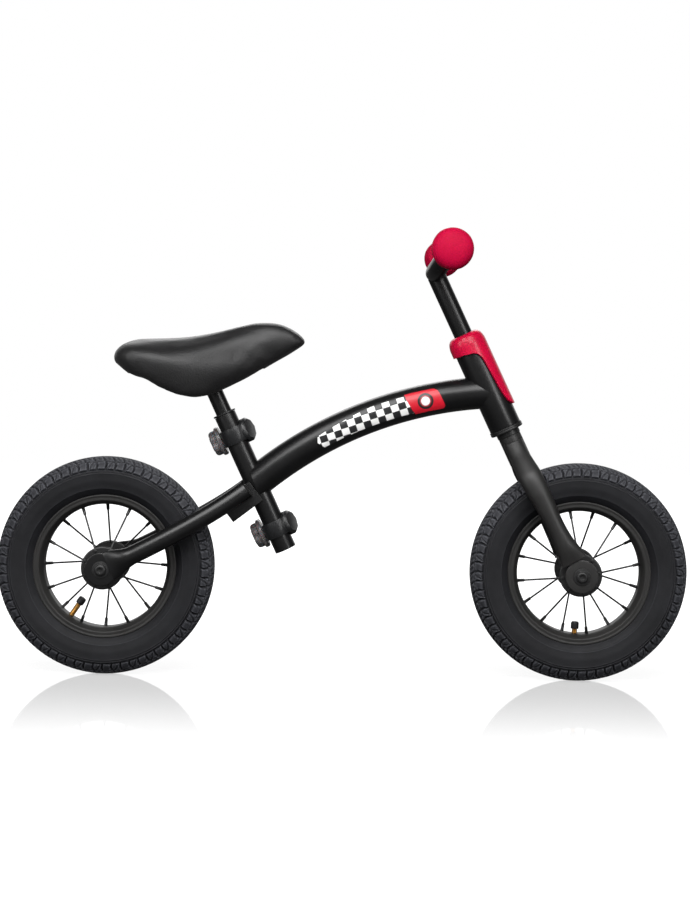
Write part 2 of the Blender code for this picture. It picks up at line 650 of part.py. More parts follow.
def build_rear_stay(name, side, material, cutters):
    front = SEAT_CROSSING - Vector((STAY_FRONT_BACK, 0, STAY_FRONT_DROP))
    reach = (front - REAR_HUB).length
    front_along = Vector((-math.cos(STAY_FRONT_SLOPE), 0, -math.sin(STAY_FRONT_SLOPE)))
    rear_along = Vector((math.cos(STAY_REAR_SLOPE), 0, math.sin(STAY_REAR_SLOPE)))
    route = (front, front + front_along * reach * 0.24, REAR_HUB + rear_along * reach * 0.32, REAR_HUB)
    stations = []
    amounts = (0, 0.12, 0.24, 0.36, 0.48, 0.60, 0.70, 0.78, 0.83, 0.88, 0.94, 1.0)
    for amount in amounts:
        across = blend(STAY_FRONT_SIDE, DROPOUT_SIDE, math.sin(math.pi / 2 * amount))
        flat = ease((amount - STAY_FLATTENING_START) / 0.14)
        depth = blend(STAY_RADIUS, DROPOUT_RADIUS * 0.92, flat)
        width = blend(STAY_RADIUS, DROPOUT_THICKNESS / 2, flat)
        across = blend(across, DROPOUT_SIDE, flat)
        stations.append((bezier(route, amount) + Vector((0, side * across, 0)), depth, width))
    stay = add_mesh(name, flat_blade(name, stations), material)
    disc, hole = dropout_tools(name, side, None, REAR_HUB)
    boolean(stay, disc, "UNION")
    for tool in cutters:
        boolean(stay, tool)
    boolean(stay, hole)
    return stay


# ---- frame --------------------------------------------------------------------------------------------
def main_tube_arc():
    """The arc through the seat tube crossing and the head tube crossing, bowed upwards."""
    start = SEAT_CROSSING
    end = steer_point(0, HEAD_TUBE_BOTTOM + MAIN_TUBE_ABOVE_HEAD_BOTTOM)
    chord = end - start
    half = chord.length / 2
    drop = math.sqrt(MAIN_TUBE_ARC_RADIUS ** 2 - half ** 2)
    down = Vector((chord.z, 0, -chord.x)).normalized()
    centre = start + chord / 2 + down * drop
    first = math.atan2(start.z - centre.z, start.x - centre.x)
    last = math.atan2(end.z - centre.z, end.x - centre.x)
    return arc_points((centre.x, centre.z), MAIN_TUBE_ARC_RADIUS, first, last, 11)


def build_main_tube(material, head_cut, seat_cut, behind_cut):
    points = main_tube_arc()
    tube = add_mesh("main_tube", swept_mesh("main_tube", points, MAIN_TUBE_RADIUS, 24), material)
    lead = (points[0] - points[1]).normalized() * MAIN_TUBE_RADIUS
    tail = (points[-1] - points[-2]).normalized() * MAIN_TUBE_RADIUS
    inside = [points[0] + lead] + points + [points[-1] + tail]
    bore = swept_mesh("main_tube_bore", inside, MAIN_TUBE_RADIUS - MAIN_TUBE_WALL, 12)
    boolean(tube, seat_cut)
    boolean(tube, behind_cut)
    boolean(tube, cutter("main_tube_bore", bore))
    boolean(tube, head_cut)
    return tube


def prism_mesh(name, outline, low, high):
    """A flat outline in the local XZ plane, extruded along Y."""
    curve = bpy.data.curves.new(name, "CURVE")
    curve.dimensions = "2D"
    curve.fill_mode = "BOTH"
    curve.extrude = (high - low) / 2
    spline = curve.splines.new("POLY")
    spline.points.add(len(outline) - 1)
    for point, (across, up) in zip(spline.points, outline):
        point.co = (across, up, 0, 1)
    spline.use_cyclic_u = True
    source = bpy.data.objects.new(name + "_curve", curve)
    bpy.context.scene.collection.objects.link(source)
    depsgraph = bpy.context.evaluated_depsgraph_get()
    mesh = bpy.data.meshes.new_from_object(source.evaluated_get(depsgraph))
    bpy.data.objects.remove(source, do_unlink=True)
    for vertex in mesh.vertices:
        across, up, depth = vertex.co
        vertex.co = (across, (low + high) / 2 - depth, up)
    weld(mesh)
    return mesh


def build_head_cover(axis, material):
    """A collar round the head tube's top that runs down its front as a pointed shield."""
    inner = HEAD_TUBE_RADIUS + GAP
    outer = inner + COVER_WALL
    hole = STEM_RADIUS + COVER_STEM_CLEARANCE
    bottom = COVER_TOP - COVER_SHIELD_LENGTH
    outline = [
        (hole, COVER_TOP), (outer - 0.0048, COVER_TOP), (outer - 0.0012, COVER_TOP - 0.0022),
        (outer, COVER_TOP - 0.0065), (outer, bottom), (inner, bottom),
        (inner, COVER_TOP - COVER_TOP_WALL - 0.001),
        (inner - 0.001, COVER_TOP - COVER_TOP_WALL), (hole, COVER_TOP - COVER_TOP_WALL)]
    cover = screwed("head_tube_cover", outline, material, axis)
    rear = COVER_TOP - COVER_COLLAR_HEIGHT
    far = 0.04
    cut = [
        (-far, rear), (0.002, rear - 0.0020), (0.0075, rear - 0.0045), (0.0108, rear - 0.0095),
        (0.0135, blend(rear, bottom, 0.28)), (0.0165, blend(rear, bottom, 0.50)),
        (0.0190, blend(rear, bottom, 0.73)), (0.0212, bottom + 0.001), (0.0212, bottom - far),
        (-far, bottom - far)]
    boolean(cover, cutter("cover_outline", prism_mesh("cover_outline", cut, -far, far), axis))
    return cover


def cup_outline(rim_low, rim_high, skirt_end, rim_radius):
    """A headset cup: its rim stands outside the head tube, its skirt is pressed inside."""
    skirt = HEAD_TUBE_BORE - GAP
    above = skirt_end > rim_high
    near, far = (rim_high, rim_low) if above else (rim_low, rim_high)
    return [
        (CUP_BORE, far), (rim_radius, far), (rim_radius, near), (skirt, near), (skirt, skirt_end),
        (CUP_BORE, skirt_end)]


def build_head(axis, materials):
    tube = ring_outline(HEAD_TUBE_RADIUS, HEAD_TUBE_BORE, HEAD_TUBE_BOTTOM, HEAD_TUBE_TOP)
    screwed("head_tube", tube, materials["gloss"], axis)
    low = HEAD_TUBE_BOTTOM - CUP_RIM_HEIGHT
    lower = cup_outline(low, HEAD_TUBE_BOTTOM - GAP, HEAD_TUBE_BOTTOM + CUP_SKIRT_HEIGHT, LOWER_CUP_RADIUS)
    screwed("lower_headset_cup", lower, materials["steel_black"], axis)
    high = HEAD_TUBE_TOP + CUP_RIM_HEIGHT
    upper = cup_outline(HEAD_TUBE_TOP + GAP, high, HEAD_TUBE_TOP - CUP_SKIRT_HEIGHT, HEAD_TUBE_RADIUS)
    screwed("upper_headset_cup", upper, materials["steel_black"], axis)
    for name, bottom in (("lower", low + 0.0015), ("upper", high - 0.0005 - HEADSET_BEARING_HEIGHT)):
        ring = ring_outline(CUP_BORE - GAP, STEERER_RADIUS + GAP, bottom, bottom + HEADSET_BEARING_HEIGHT)
        screwed(name + "_headset_bearing", ring, materials["steel"], axis)
    build_head_cover(axis, materials["red"])


def build_steering(axis, materials):
    bore = STEERER_BORE
    steerer = [
        (bore, STEERER_TOP), (STEERER_RADIUS, STEERER_TOP), (STEERER_RADIUS, CROWN_TOP),
        (CROWN_RADIUS, CROWN_TOP),
        (CROWN_RADIUS, STEERER_BOTTOM), (bore, STEERER_BOTTOM)]
    screwed("fork_steerer", steerer, materials["dark"], axis)
    race_top = HEAD_TUBE_BOTTOM - CUP_RIM_HEIGHT + 0.0015 - GAP
    race = ring_outline(CROWN_RACE_RADIUS, STEERER_RADIUS + GAP, CROWN_TOP + GAP, race_top)
    screwed("crown_race", race, materials["steel_black"], axis)
    cut_mesh = cylinder_mesh("steerer_space", CROWN_RADIUS + GAP, STEERER_BOTTOM - GAP, STEERER_TOP, 24)
    steerer_cut = cutter("steerer_space", cut_mesh, axis)
    blade_gap = box_mesh("blade_split", (-0.05, -GAP / 2, 0), (0.05, GAP / 2, STEERER_TOP))
    split = cutter("blade_split", blade_gap, axis)
    for name, side in (("right", -1), ("left", 1)):
        blade = build_fork_blade("fork_blade_" + name, side, axis, materials["dark"], steerer_cut)
        boolean(blade, split)
    build_stem_clamp(axis, materials)
    build_handlebar(axis, materials)


def build_stem_clamp(axis, materials):
    outline = ring_outline(STEM_CLAMP_RADIUS, STEERER_RADIUS + GAP, CLAMP_BOTTOM, STEERER_TOP)
    clamp = screwed("stem_clamp", outline, materials["steel_black"], axis)
    middle = (CLAMP_BOTTOM + STEERER_TOP) / 2
    half = STEM_CLAMP_SLIT / 2
    slit = box_mesh("stem_clamp_slit", (-0.03, -half, CLAMP_BOTTOM - 0.01), (0, half, STEERER_TOP + 0.01))
    boolean(clamp, cutter("stem_clamp_slit", slit, axis))
    back = -(STEERER_RADIUS + GAP + STEM_CLAMP_RADIUS) / 2
    hole = cylinder_mesh("stem_clamp_hole", STEM_CLAMP_BOLT_RADIUS + GAP, -0.03, 0.03, 16)
    boolean(clamp, cutter("stem_clamp_hole", hole, axis, (back, 0, middle), WHEEL_TURN))
    reach = math.sqrt(STEM_CLAMP_RADIUS ** 2 - back ** 2) - 0.0015
    bolt = pin_outline(STEM_CLAMP_BOLT_RADIUS, -reach, reach)
    screwed("stem_clamp_bolt", bolt, materials["steel"], axis, (back, 0, middle), WHEEL_TURN, steps=16)


def bar_points():
    """The handlebar's route in the steering frame: flat over the stem, swept forward and up to the grips."""
    bend = (
        (0.0, 0.0), (0.018, 0.04), (0.036, 0.26), (0.052, 0.64), (0.066, 0.93), (0.078, 1.0),
        (HANDLEBAR_HALF_WIDTH - GRIP_END_WALL - GAP, 1.0))
    half = [Vector((BAR_SWEEP * part, side, STEM_TOP + BAR_RISE * part)) for side, part in bend]
    return [Vector((point.x, -point.y, point.z)) for point in reversed(half[1:])] + half


def build_handlebar(axis, materials):
    points = bar_points()
    bar = add_mesh("handlebar", swept_mesh("handlebar", points, BAR_RADIUS, 16), materials["gloss"], axis)
    lead = (points[0] - points[1]).normalized() * 0.01
    inside = [points[0] + lead] + points + [points[-1] - Vector((0, lead.y, 0))]
    boolean(bar, cutter("bar_bore", swept_mesh("bar_bore", inside, BAR_RADIUS - BAR_WALL, 10), axis))
    low = STEERER_TOP - STEM_INSERTION
    stem = screwed("handlebar_stem", ring_outline(STEM_RADIUS, STEM_RADIUS - STEM_WALL, low, STEM_TOP),
                   materials["gloss"], axis)
    boolean(stem, cutter("bar_space", swept_mesh("bar_space", points, BAR_RADIUS + GAP, 16), axis))
    for name, side in (("right", -1), ("left", 1)):
        build_grip("grip_" + name, side, axis, materials["grip"])


def build_grip(name, side, axis, material):
    end = HANDLEBAR_HALF_WIDTH
    inner = end - GRIP_LENGTH
    bore = BAR_RADIUS + GAP
    floor = end - GRIP_END_WALL
    bulb = end - GRIP_BULB_LENGTH
    outline = [
        (0, end), (GRIP_BULB_RADIUS * 0.62, end - 0.0022), (GRIP_BULB_RADIUS * 0.92, end - 0.0080),
        (GRIP_BULB_RADIUS, end - 0.0135), (GRIP_BULB_RADIUS * 0.90, end - 0.0195),
        (GRIP_BODY_RADIUS + 0.001, bulb),
        (GRIP_BODY_RADIUS, inner + 0.006), (GRIP_FLANGE_RADIUS, inner + 0.0035), (GRIP_FLANGE_RADIUS, inner),
        (bore, inner), (bore, floor), (0, floor)]
    turned = [(radius, -side * height) for radius, height in outline]
    place = (BAR_SWEEP, 0, STEM_TOP + BAR_RISE)
    return screwed(name, turned, material, axis, place, WHEEL_TURN, steps=16)


# ---- seat tube, clamps and saddle ---------------------------------------------------------------------
def build_seat_tube(axis, materials):
    tube = screwed(
        "seat_tube", ring_outline(SEAT_TUBE_RADIUS, SEAT_TUBE_BORE, -SEAT_TUBE_DOWN, SEAT_TUBE_UP),
        materials["gloss"], axis)
    half = SEAT_SLOT_WIDTH / 2
    for name, low, high in (
            ("upper_slot", SEAT_TUBE_UP - SEAT_SLOT_LENGTH, SEAT_TUBE_UP + 0.01),
            ("lower_slot", -SEAT_TUBE_DOWN - 0.01, -SEAT_TUBE_DOWN + SEAT_SLOT_LENGTH)):
        boolean(tube, cutter(name, box_mesh(name, (-half, 0, low), (half, 0.02, high)), axis))
    skirt = SEAT_TUBE_BORE - GAP
    bore = POST_RADIUS + GAP
    lip = SEAT_TUBE_UP + GAP
    outline = [
        (bore, lip + BUSH_LIP_HEIGHT), (BUSH_LIP_RADIUS, lip + BUSH_LIP_HEIGHT), (BUSH_LIP_RADIUS, lip),
        (skirt, lip), (skirt, SEAT_TUBE_UP - BUSH_DEPTH), (bore, SEAT_TUBE_UP - BUSH_DEPTH)]
    screwed("seat_tube_bush", outline, materials["black"], axis)


def build_yoke(material, seat_cut):
    slope = SEAT_TUBE_LEAN + YOKE_SLOPE
    low = (-YOKE_REACH, -YOKE_HALF_WIDTH, -YOKE_BOTTOM)
    high = (-0.004, YOKE_HALF_WIDTH, YOKE_TOP)
    yoke = add_mesh(
        "stay_yoke", box_mesh("stay_yoke", low, high), material, None, SEAT_CROSSING, (0, -slope, 0))
    boolean(yoke, seat_cut)
    grown_low = [value - GAP for value in low]
    grown_high = [value + GAP for value in high]
    space = box_mesh("yoke_space", grown_low, grown_high)
    return cutter("yoke_space", space, None, SEAT_CROSSING, (0, -slope, 0))


def build_clamp(prefix, seat_axis, height, materials):
    """A collar round one end of the seat tube, its draw bolt, and the star knob on the bolt."""
    axis = add_empty(prefix + "_clamp_axis", (0, 0, height), parent=seat_axis)
    half = CLAMP_HEIGHT / 2
    along_x = (0, math.pi / 2, 0)
    collar = screwed(
        prefix + "_clamp_collar", pin_outline(CLAMP_OUTER, -half, half), materials["black"], axis)
    ear_low = (-CLAMP_EAR_HALF_LENGTH, 0.0, -half)
    ear_high = (CLAMP_BOSS_START + 0.002, CLAMP_BOLT_SIDE + CLAMP_EAR_DEPTH, half)
    ear = bevel(cutter(prefix + "_ear", box_mesh(prefix + "_ear", ear_low, ear_high), axis), 0.002)
    boss_mesh = cylinder_mesh(prefix + "_boss", CLAMP_BOSS_RADIUS, CLAMP_BOSS_START, CLAMP_BOSS_END, 8)
    turn_flat = (math.pi / 8, math.pi / 2, 0)
    boss = bevel(cutter(prefix + "_boss", boss_mesh, axis, (0, CLAMP_BOSS_SIDE, 0), turn_flat), 0.003)
    boolean(collar, ear, "UNION")
    boolean(collar, boss, "UNION")
    bore = cylinder_mesh(prefix + "_clamp_bore", CLAMP_BORE, -0.03, 0.03, 24)
    boolean(collar, cutter(prefix + "_clamp_bore", bore, axis))
    slit_half = CLAMP_SLIT / 2
    slit = box_mesh(prefix + "_slit", (-slit_half, 0.008, -0.03), (slit_half, 0.04, 0.03))
    boolean(collar, cutter(prefix + "_slit", slit, axis))
    place = (0, CLAMP_BOLT_SIDE, 0)
    hole = cylinder_mesh(prefix + "_bolt_hole", CLAMP_BOLT_RADIUS + GAP, -0.03, 0.03, 16)
    boolean(collar, cutter(prefix + "_bolt_hole", hole, axis, place, along_x))
    seat = CLAMP_BOSS_END - CLAMP_BOLT_HEAD_HEIGHT - 0.001
    recess = cylinder_mesh(prefix + "_recess", CLAMP_BOLT_HEAD_RADIUS + GAP, seat, CLAMP_BOSS_END + 0.01, 16)
    boolean(collar, cutter(prefix + "_recess", recess, axis, place, along_x))
    build_clamp_bolt(prefix, axis, place, seat, materials)
    return axis


def build_clamp_bolt(prefix, axis, place, seat, materials):
    inner_face = CLAMP_OUTER + GAP
    bolt_end = -inner_face - KNOB_THREAD_DEPTH
    head_low = seat + GAP
    head_high = head_low + CLAMP_BOLT_HEAD_HEIGHT
    outline = [
        (0, head_high), (CLAMP_BOLT_HEAD_RADIUS, head_high), (CLAMP_BOLT_HEAD_RADIUS, head_low),
        (CLAMP_BOLT_RADIUS, head_low), (CLAMP_BOLT_RADIUS, bolt_end), (0, bolt_end)]
    screwed(prefix + "_clamp_bolt", outline, materials["steel"], axis, place, (0, math.pi / 2, 0), steps=16)
    knob_axis = add_empty(prefix + "_knob_axis", (-inner_face, place[1], place[2]), parent=axis)
    knob_axis.rotation_euler = (0, -math.pi / 2, 0)
    knob = add_mesh(prefix + "_clamp_knob", knob_mesh(prefix + "_clamp_knob"), materials["knob"], knob_axis)
    bore = cylinder_mesh(
        prefix + "_knob_bore", CLAMP_BOLT_RADIUS + GAP, -0.005, KNOB_THREAD_DEPTH + 2 * GAP, 16)
    boolean(knob, cutter(prefix + "_knob_bore", bore, knob_axis))


def knob_ring(radius, lobe_depth, height):
    ring = []
    for step in range(KNOB_STEPS):
        angle = 2 * math.pi * step / KNOB_STEPS
        reach = radius - lobe_depth * (1 - math.cos(KNOB_LOBES * angle)) / 2
        ring.append(Vector((reach * math.cos(angle), reach * math.sin(angle), height)))
    return ring


def knob_mesh(name):
    """A round flange with a lobed hand grip on it."""
    return loft_mesh(name, [
        knob_ring(KNOB_RADIUS - 0.002, 0, 0), knob_ring(KNOB_RADIUS, 0, 0.0015),
        knob_ring(KNOB_RADIUS, 0, KNOB_FLANGE_THICKNESS - 0.001),
        knob_ring(KNOB_GRIP_RADIUS, KNOB_LOBE_DEPTH, KNOB_FLANGE_THICKNESS),
        knob_ring(KNOB_GRIP_RADIUS, KNOB_LOBE_DEPTH, KNOB_LENGTH - 0.0025),
        knob_ring(KNOB_GRIP_RADIUS - 0.003, KNOB_LOBE_DEPTH, KNOB_LENGTH)])


# saddle stations, from the tail to the nose: distance ahead of the seat tube crossing, crown height and
# skirt height above it, and the width as a share of the widest place
SADDLE_STATIONS = (
    (-0.1670, 0.1462, 0.1422, 0.42), (-0.1650, 0.1530, 0.1395, 0.62), (-0.1585, 0.1600, 0.1355, 0.80),
    (-0.1465, 0.1637, 0.1262, 0.93), (-0.1265, 0.1647, 0.1170, 1.00), (-0.1045, 0.1655, 0.1070, 1.00),
    (-0.0815, 0.1673, 0.0997, 0.94), (-0.0615, 0.1705, 0.0997, 0.83), (-0.0415, 0.1745, 0.1070, 0.69),
    (-0.0165, 0.1804, 0.1200, 0.53), (0.0079, 0.1849, 0.1350, 0.42), (0.0255, 0.1843, 0.1460, 0.365),
    (0.0405, 0.1781, 0.1550, 0.31), (0.0490, 0.1715, 0.1605, 0.235), (0.0535, 0.1665, 0.1640, 0.12))
# half of a section: share of the half width, share of the height
SADDLE_SECTION = (
    (0.0, 1.0), (0.38, 0.985), (0.68, 0.93), (0.90, 0.80), (1.0, 0.60), (0.985, 0.38), (0.93, 0.16),
    (0.84, 0.02), (0.60, 0.0))


def saddle_mesh(name, first, last, inset, skirt_shift):
    """A loft of the saddle's sections, drawn in by inset, its lower edge moved by skirt_shift."""
    sections = []
    for index in range(first, last + 1):
        x, crown, skirt, share = SADDLE_STATIONS[index]
        if inset and index == first:
            x += inset - SADDLE_PADDING
        if inset and index == last:
            x -= inset - SADDLE_PADDING
        half = SADDLE_HALF_WIDTH * share - inset
        top = crown - inset
        low = skirt + skirt_shift
        right = [Vector((x, half * g, low + (top - low) * f)) for g, f in SADDLE_SECTION]
        left = [Vector((x, -point.y, point.z)) for point in reversed(right[1:])]
        sections.append(right + left)
    return loft_mesh(name, sections)


def build_saddle(slide, materials):
    level = add_empty("saddle_level", (0, 0, 0), -SEAT_TUBE_LEAN, slide)
    bottom = POST_TOP - POST_LENGTH
    post_outline = ring_outline(POST_RADIUS, POST_RADIUS - POST_WALL, bottom, POST_TOP)
    post = screwed("seat_post", post_outline, materials["gloss"], slide)
    last = len(SADDLE_STATIONS) - 1
    pad = add_mesh("saddle_pad", saddle_mesh("saddle_pad", 0, last, 0, 0), materials["saddle"], level)
    cavity = saddle_mesh("saddle_cavity", 3, 10, SADDLE_PADDING, -0.03)
    boolean(pad, cutter("saddle_cavity", cavity, level))
    base_mesh = saddle_mesh("saddle_base", 3, 10, SADDLE_PADDING + GAP, SADDLE_BASE_RIM)
    base = add_mesh("saddle_base", base_mesh, materials["black"], level)
    shell = saddle_mesh("saddle_base_hollow", 3, 10, SADDLE_PADDING + SADDLE_BASE_WALL, -0.03)
    boolean(base, cutter("saddle_base_hollow", shell, level))
    socket_low = POST_TOP - SADDLE_SOCKET_LENGTH
    socket_outer = POST_RADIUS + GAP + SADDLE_SOCKET_WALL
    socket_mesh = cylinder_mesh("saddle_socket", socket_outer, socket_low, POST_TOP + 0.012, 24)
    socket = cutter("saddle_socket", socket_mesh, slide)
    boolean(base, socket, "UNION")
    boolean(base, cutter("saddle_outside", saddle_trim(), level), "INTERSECT")
    bore = cylinder_mesh("socket_bore", POST_RADIUS + GAP, bottom, POST_TOP + GAP, 24)
    boolean(base, cutter("socket_bore", bore, slide))
    place = (0, 0, POST_TOP - SADDLE_BOLT_BELOW_TOP)
    hole_mesh = cylinder_mesh("saddle_bolt_hole", SADDLE_BOLT_RADIUS + GAP, -0.03, 0.03, 16)
    hole = cutter("saddle_bolt_hole", hole_mesh, slide, place, WHEEL_TURN)
    boolean(base, hole)
    boolean(post, hole)
    head_low = socket_outer + GAP
    head_high = head_low + SADDLE_BOLT_HEAD_HEIGHT
    outline = [
        (0, head_high), (SADDLE_BOLT_HEAD_RADIUS, head_high), (SADDLE_BOLT_HEAD_RADIUS, head_low),
        (SADDLE_BOLT_RADIUS, head_low), (SADDLE_BOLT_RADIUS, -socket_outer), (0, -socket_outer)]
    screwed("saddle_bolt", outline, materials["steel"], slide, place, WHEEL_TURN, steps=16)


def saddle_trim():
    """The space under the padding, down past the socket's end."""
    return saddle_mesh("saddle_outside", 3, 10, SADDLE_PADDING + GAP, -0.06)


# ---- assembly -----------------------------------------------------------------------------------------
def parent_inverse(parent):
    bpy.context.view_layer.update()
    return parent.matrix_world.inverted()


def make_materials():
    return {
        "gloss": make_material("gloss_black_paint", (0.012, 0.012, 0.013), 0.22),
        "dark": make_material("matte_dark_grey_paint", (0.040, 0.040, 0.042), 0.50),
        "black": make_material("black_plastic", (0.016, 0.016, 0.018), 0.42),
        "steel_black": make_material("black_steel", (0.020, 0.020, 0.021), 0.38, 0.6),
        "steel": make_material("bare_steel", (0.55, 0.55, 0.56), 0.30, 1.0),
        "brass": make_material("brass", (0.72, 0.42, 0.14), 0.30, 1.0),
        "tyre": make_material("tyre_rubber", (0.026, 0.027, 0.031), 0.75),
        "rubber": make_material("tube_rubber", (0.020, 0.020, 0.020), 0.70),
        "red": make_material("crimson_plastic", (0.68, 0.006, 0.048), 0.38),
        "grip": make_material("crimson_rubber", (0.68, 0.006, 0.048), 0.55),
        "knob": make_material("grey_knob_plastic", (0.19, 0.175, 0.180), 0.35),
        "saddle": make_material("saddle_skin", (0.018, 0.018, 0.020), 0.48),
    }


def build_frame(materials):
    head_axis = add_empty("head_tube_axis", STEER_ORIGIN, STEERING_LEAN)
    seat_axis = add_empty("seat_tube_axis", SEAT_CROSSING, SEAT_TUBE_LEAN)
    head_space = cylinder_mesh("head_space", HEAD_TUBE_RADIUS + GAP, HEAD_TUBE_BOTTOM, HEAD_TUBE_TOP, 24)
    head_cut = cutter("head_space", head_space, head_axis)
    seat_space = cylinder_mesh("seat_space", SEAT_TUBE_RADIUS + GAP, -SEAT_TUBE_DOWN, SEAT_TUBE_UP, 24)
    seat_cut = cutter("seat_space", seat_space, seat_axis)
    behind = box_mesh("behind_seat_tube", (-0.06, -0.06, -0.06), (0, 0.06, 0.06))
    behind_cut = cutter("behind_seat_tube", behind, seat_axis)
    ahead = box_mesh("ahead_of_seat_tube", (-GAP, -0.06, -0.06), (0.06, 0.06, 0.06))
    ahead_cut = cutter("ahead_of_seat_tube", ahead, seat_axis)
    build_head(head_axis, materials)
    build_seat_tube(seat_axis, materials)
    build_main_tube(materials["gloss"], head_cut, seat_cut, behind_cut)
    yoke_cut = build_yoke(materials["gloss"], seat_cut)
    for name, side in (("right", -1), ("left", 1)):
        build_rear_stay("rear_stay_" + name, side, materials["gloss"], (seat_cut, yoke_cut, ahead_cut))
    build_clamp("upper", seat_axis, SEAT_TUBE_UP - CLAMP_FROM_END, materials)
    build_clamp("lower", seat_axis, -SEAT_TUBE_DOWN + CLAMP_FROM_END, materials)
    build_axle("rear", REAR_HUB, None, materials)


def main():
    clear_scene()
    new_collection(PARTS)
    new_collection(CUTTERS)
    materials = make_materials()
    build_frame(materials)
    steering = add_empty("steering_axis", STEER_ORIGIN, STEERING_LEAN)
    build_steering(steering, materials)
    build_axle("front", FRONT_HUB, steering, materials)
    build_wheel(
        "front", FRONT_HUB, steering, FRONT_SPOKE_START, FRONT_VALVE_ANGLE, FRONT_VALVE_TIP, materials)
    build_wheel("rear", REAR_HUB, None, REAR_SPOKE_START, REAR_VALVE_ANGLE, REAR_VALVE_TIP, materials)
    slide = add_empty("seat_slide", SEAT_CROSSING, SEAT_TUBE_LEAN)
    build_saddle(slide, materials)
    bpy.context.view_layer.update()


main()
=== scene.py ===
import math

import bmesh
import bpy
from mathutils import Matrix, Vector, noise


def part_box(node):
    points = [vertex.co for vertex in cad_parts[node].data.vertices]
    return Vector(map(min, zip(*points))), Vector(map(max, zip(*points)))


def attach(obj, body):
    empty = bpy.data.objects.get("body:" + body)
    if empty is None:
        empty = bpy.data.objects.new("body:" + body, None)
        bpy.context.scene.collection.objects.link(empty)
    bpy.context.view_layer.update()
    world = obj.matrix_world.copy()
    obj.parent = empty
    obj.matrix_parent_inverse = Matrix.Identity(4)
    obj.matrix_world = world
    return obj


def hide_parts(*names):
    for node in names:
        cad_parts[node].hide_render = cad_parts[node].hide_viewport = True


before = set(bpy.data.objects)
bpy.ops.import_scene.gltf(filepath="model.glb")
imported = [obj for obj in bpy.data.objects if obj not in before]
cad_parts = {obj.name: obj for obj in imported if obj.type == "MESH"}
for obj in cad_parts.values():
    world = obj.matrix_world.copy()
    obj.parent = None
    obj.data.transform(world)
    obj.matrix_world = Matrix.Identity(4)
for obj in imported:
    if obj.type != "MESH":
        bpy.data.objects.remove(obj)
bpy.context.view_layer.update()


# ---- places taken from the frame ----
def box_centre(node):
    low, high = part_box(node)
    return (low + high) / 2


def body_frame(origin, up):
    """A frame whose local Z runs along up and whose local Y is the bike's left."""
    up = up.normalized()
    forward = Vector((0, 1, 0)).cross(up).normalized()
    place = Matrix((forward, Vector((0, 1, 0)), up)).transposed().to_4x4()
    place.translation = origin
    return place


FRONT_HUB = Vector((box_centre("front_tyre").x, 0, box_centre("front_rim").z))
REAR_HUB = Vector((box_centre("rear_tyre").x, 0, box_centre("rear_rim").z))
STEER_UP = Vector((-0.4289, 0, 0.9033)).normalized()
SEAT_UP = Vector((-0.4258, 0, 0.9048)).normalized()
STEER_FORWARD = Vector((STEER_UP.z, 0, -STEER_UP.x))
SEAT_FORWARD = Vector((SEAT_UP.z, 0, -SEAT_UP.x))
FORK_OFFSET = 0.007
STEER_ORIGIN = FRONT_HUB - FORK_OFFSET * STEER_FORWARD
SEAT_CROSSING = REAR_HUB + Vector((0.1745, 0, 0.0995))
STEER = body_frame(STEER_ORIGIN, STEER_UP)
SEAT = body_frame(SEAT_CROSSING, SEAT_UP)
WHEEL_RADIUS = 0.128
DROPOUT_SIDE = 0.04855
HUBS = {"front": FRONT_HUB, "rear": REAR_HUB}
DROPOUT_HALF = 0.00225
GAP = 0.0003
CROWN_LOW = 0.146
HEAD_LOW, HEAD_HIGH = 0.191, 0.286
CREASE = math.radians(38)
SIDES = (("right", -1), ("left", 1))
WHEEL_SIDES = (("right", 1), ("left", -1))

PIECES = bpy.data.collections.new("pieces")
bpy.context.scene.collection.children.link(PIECES)


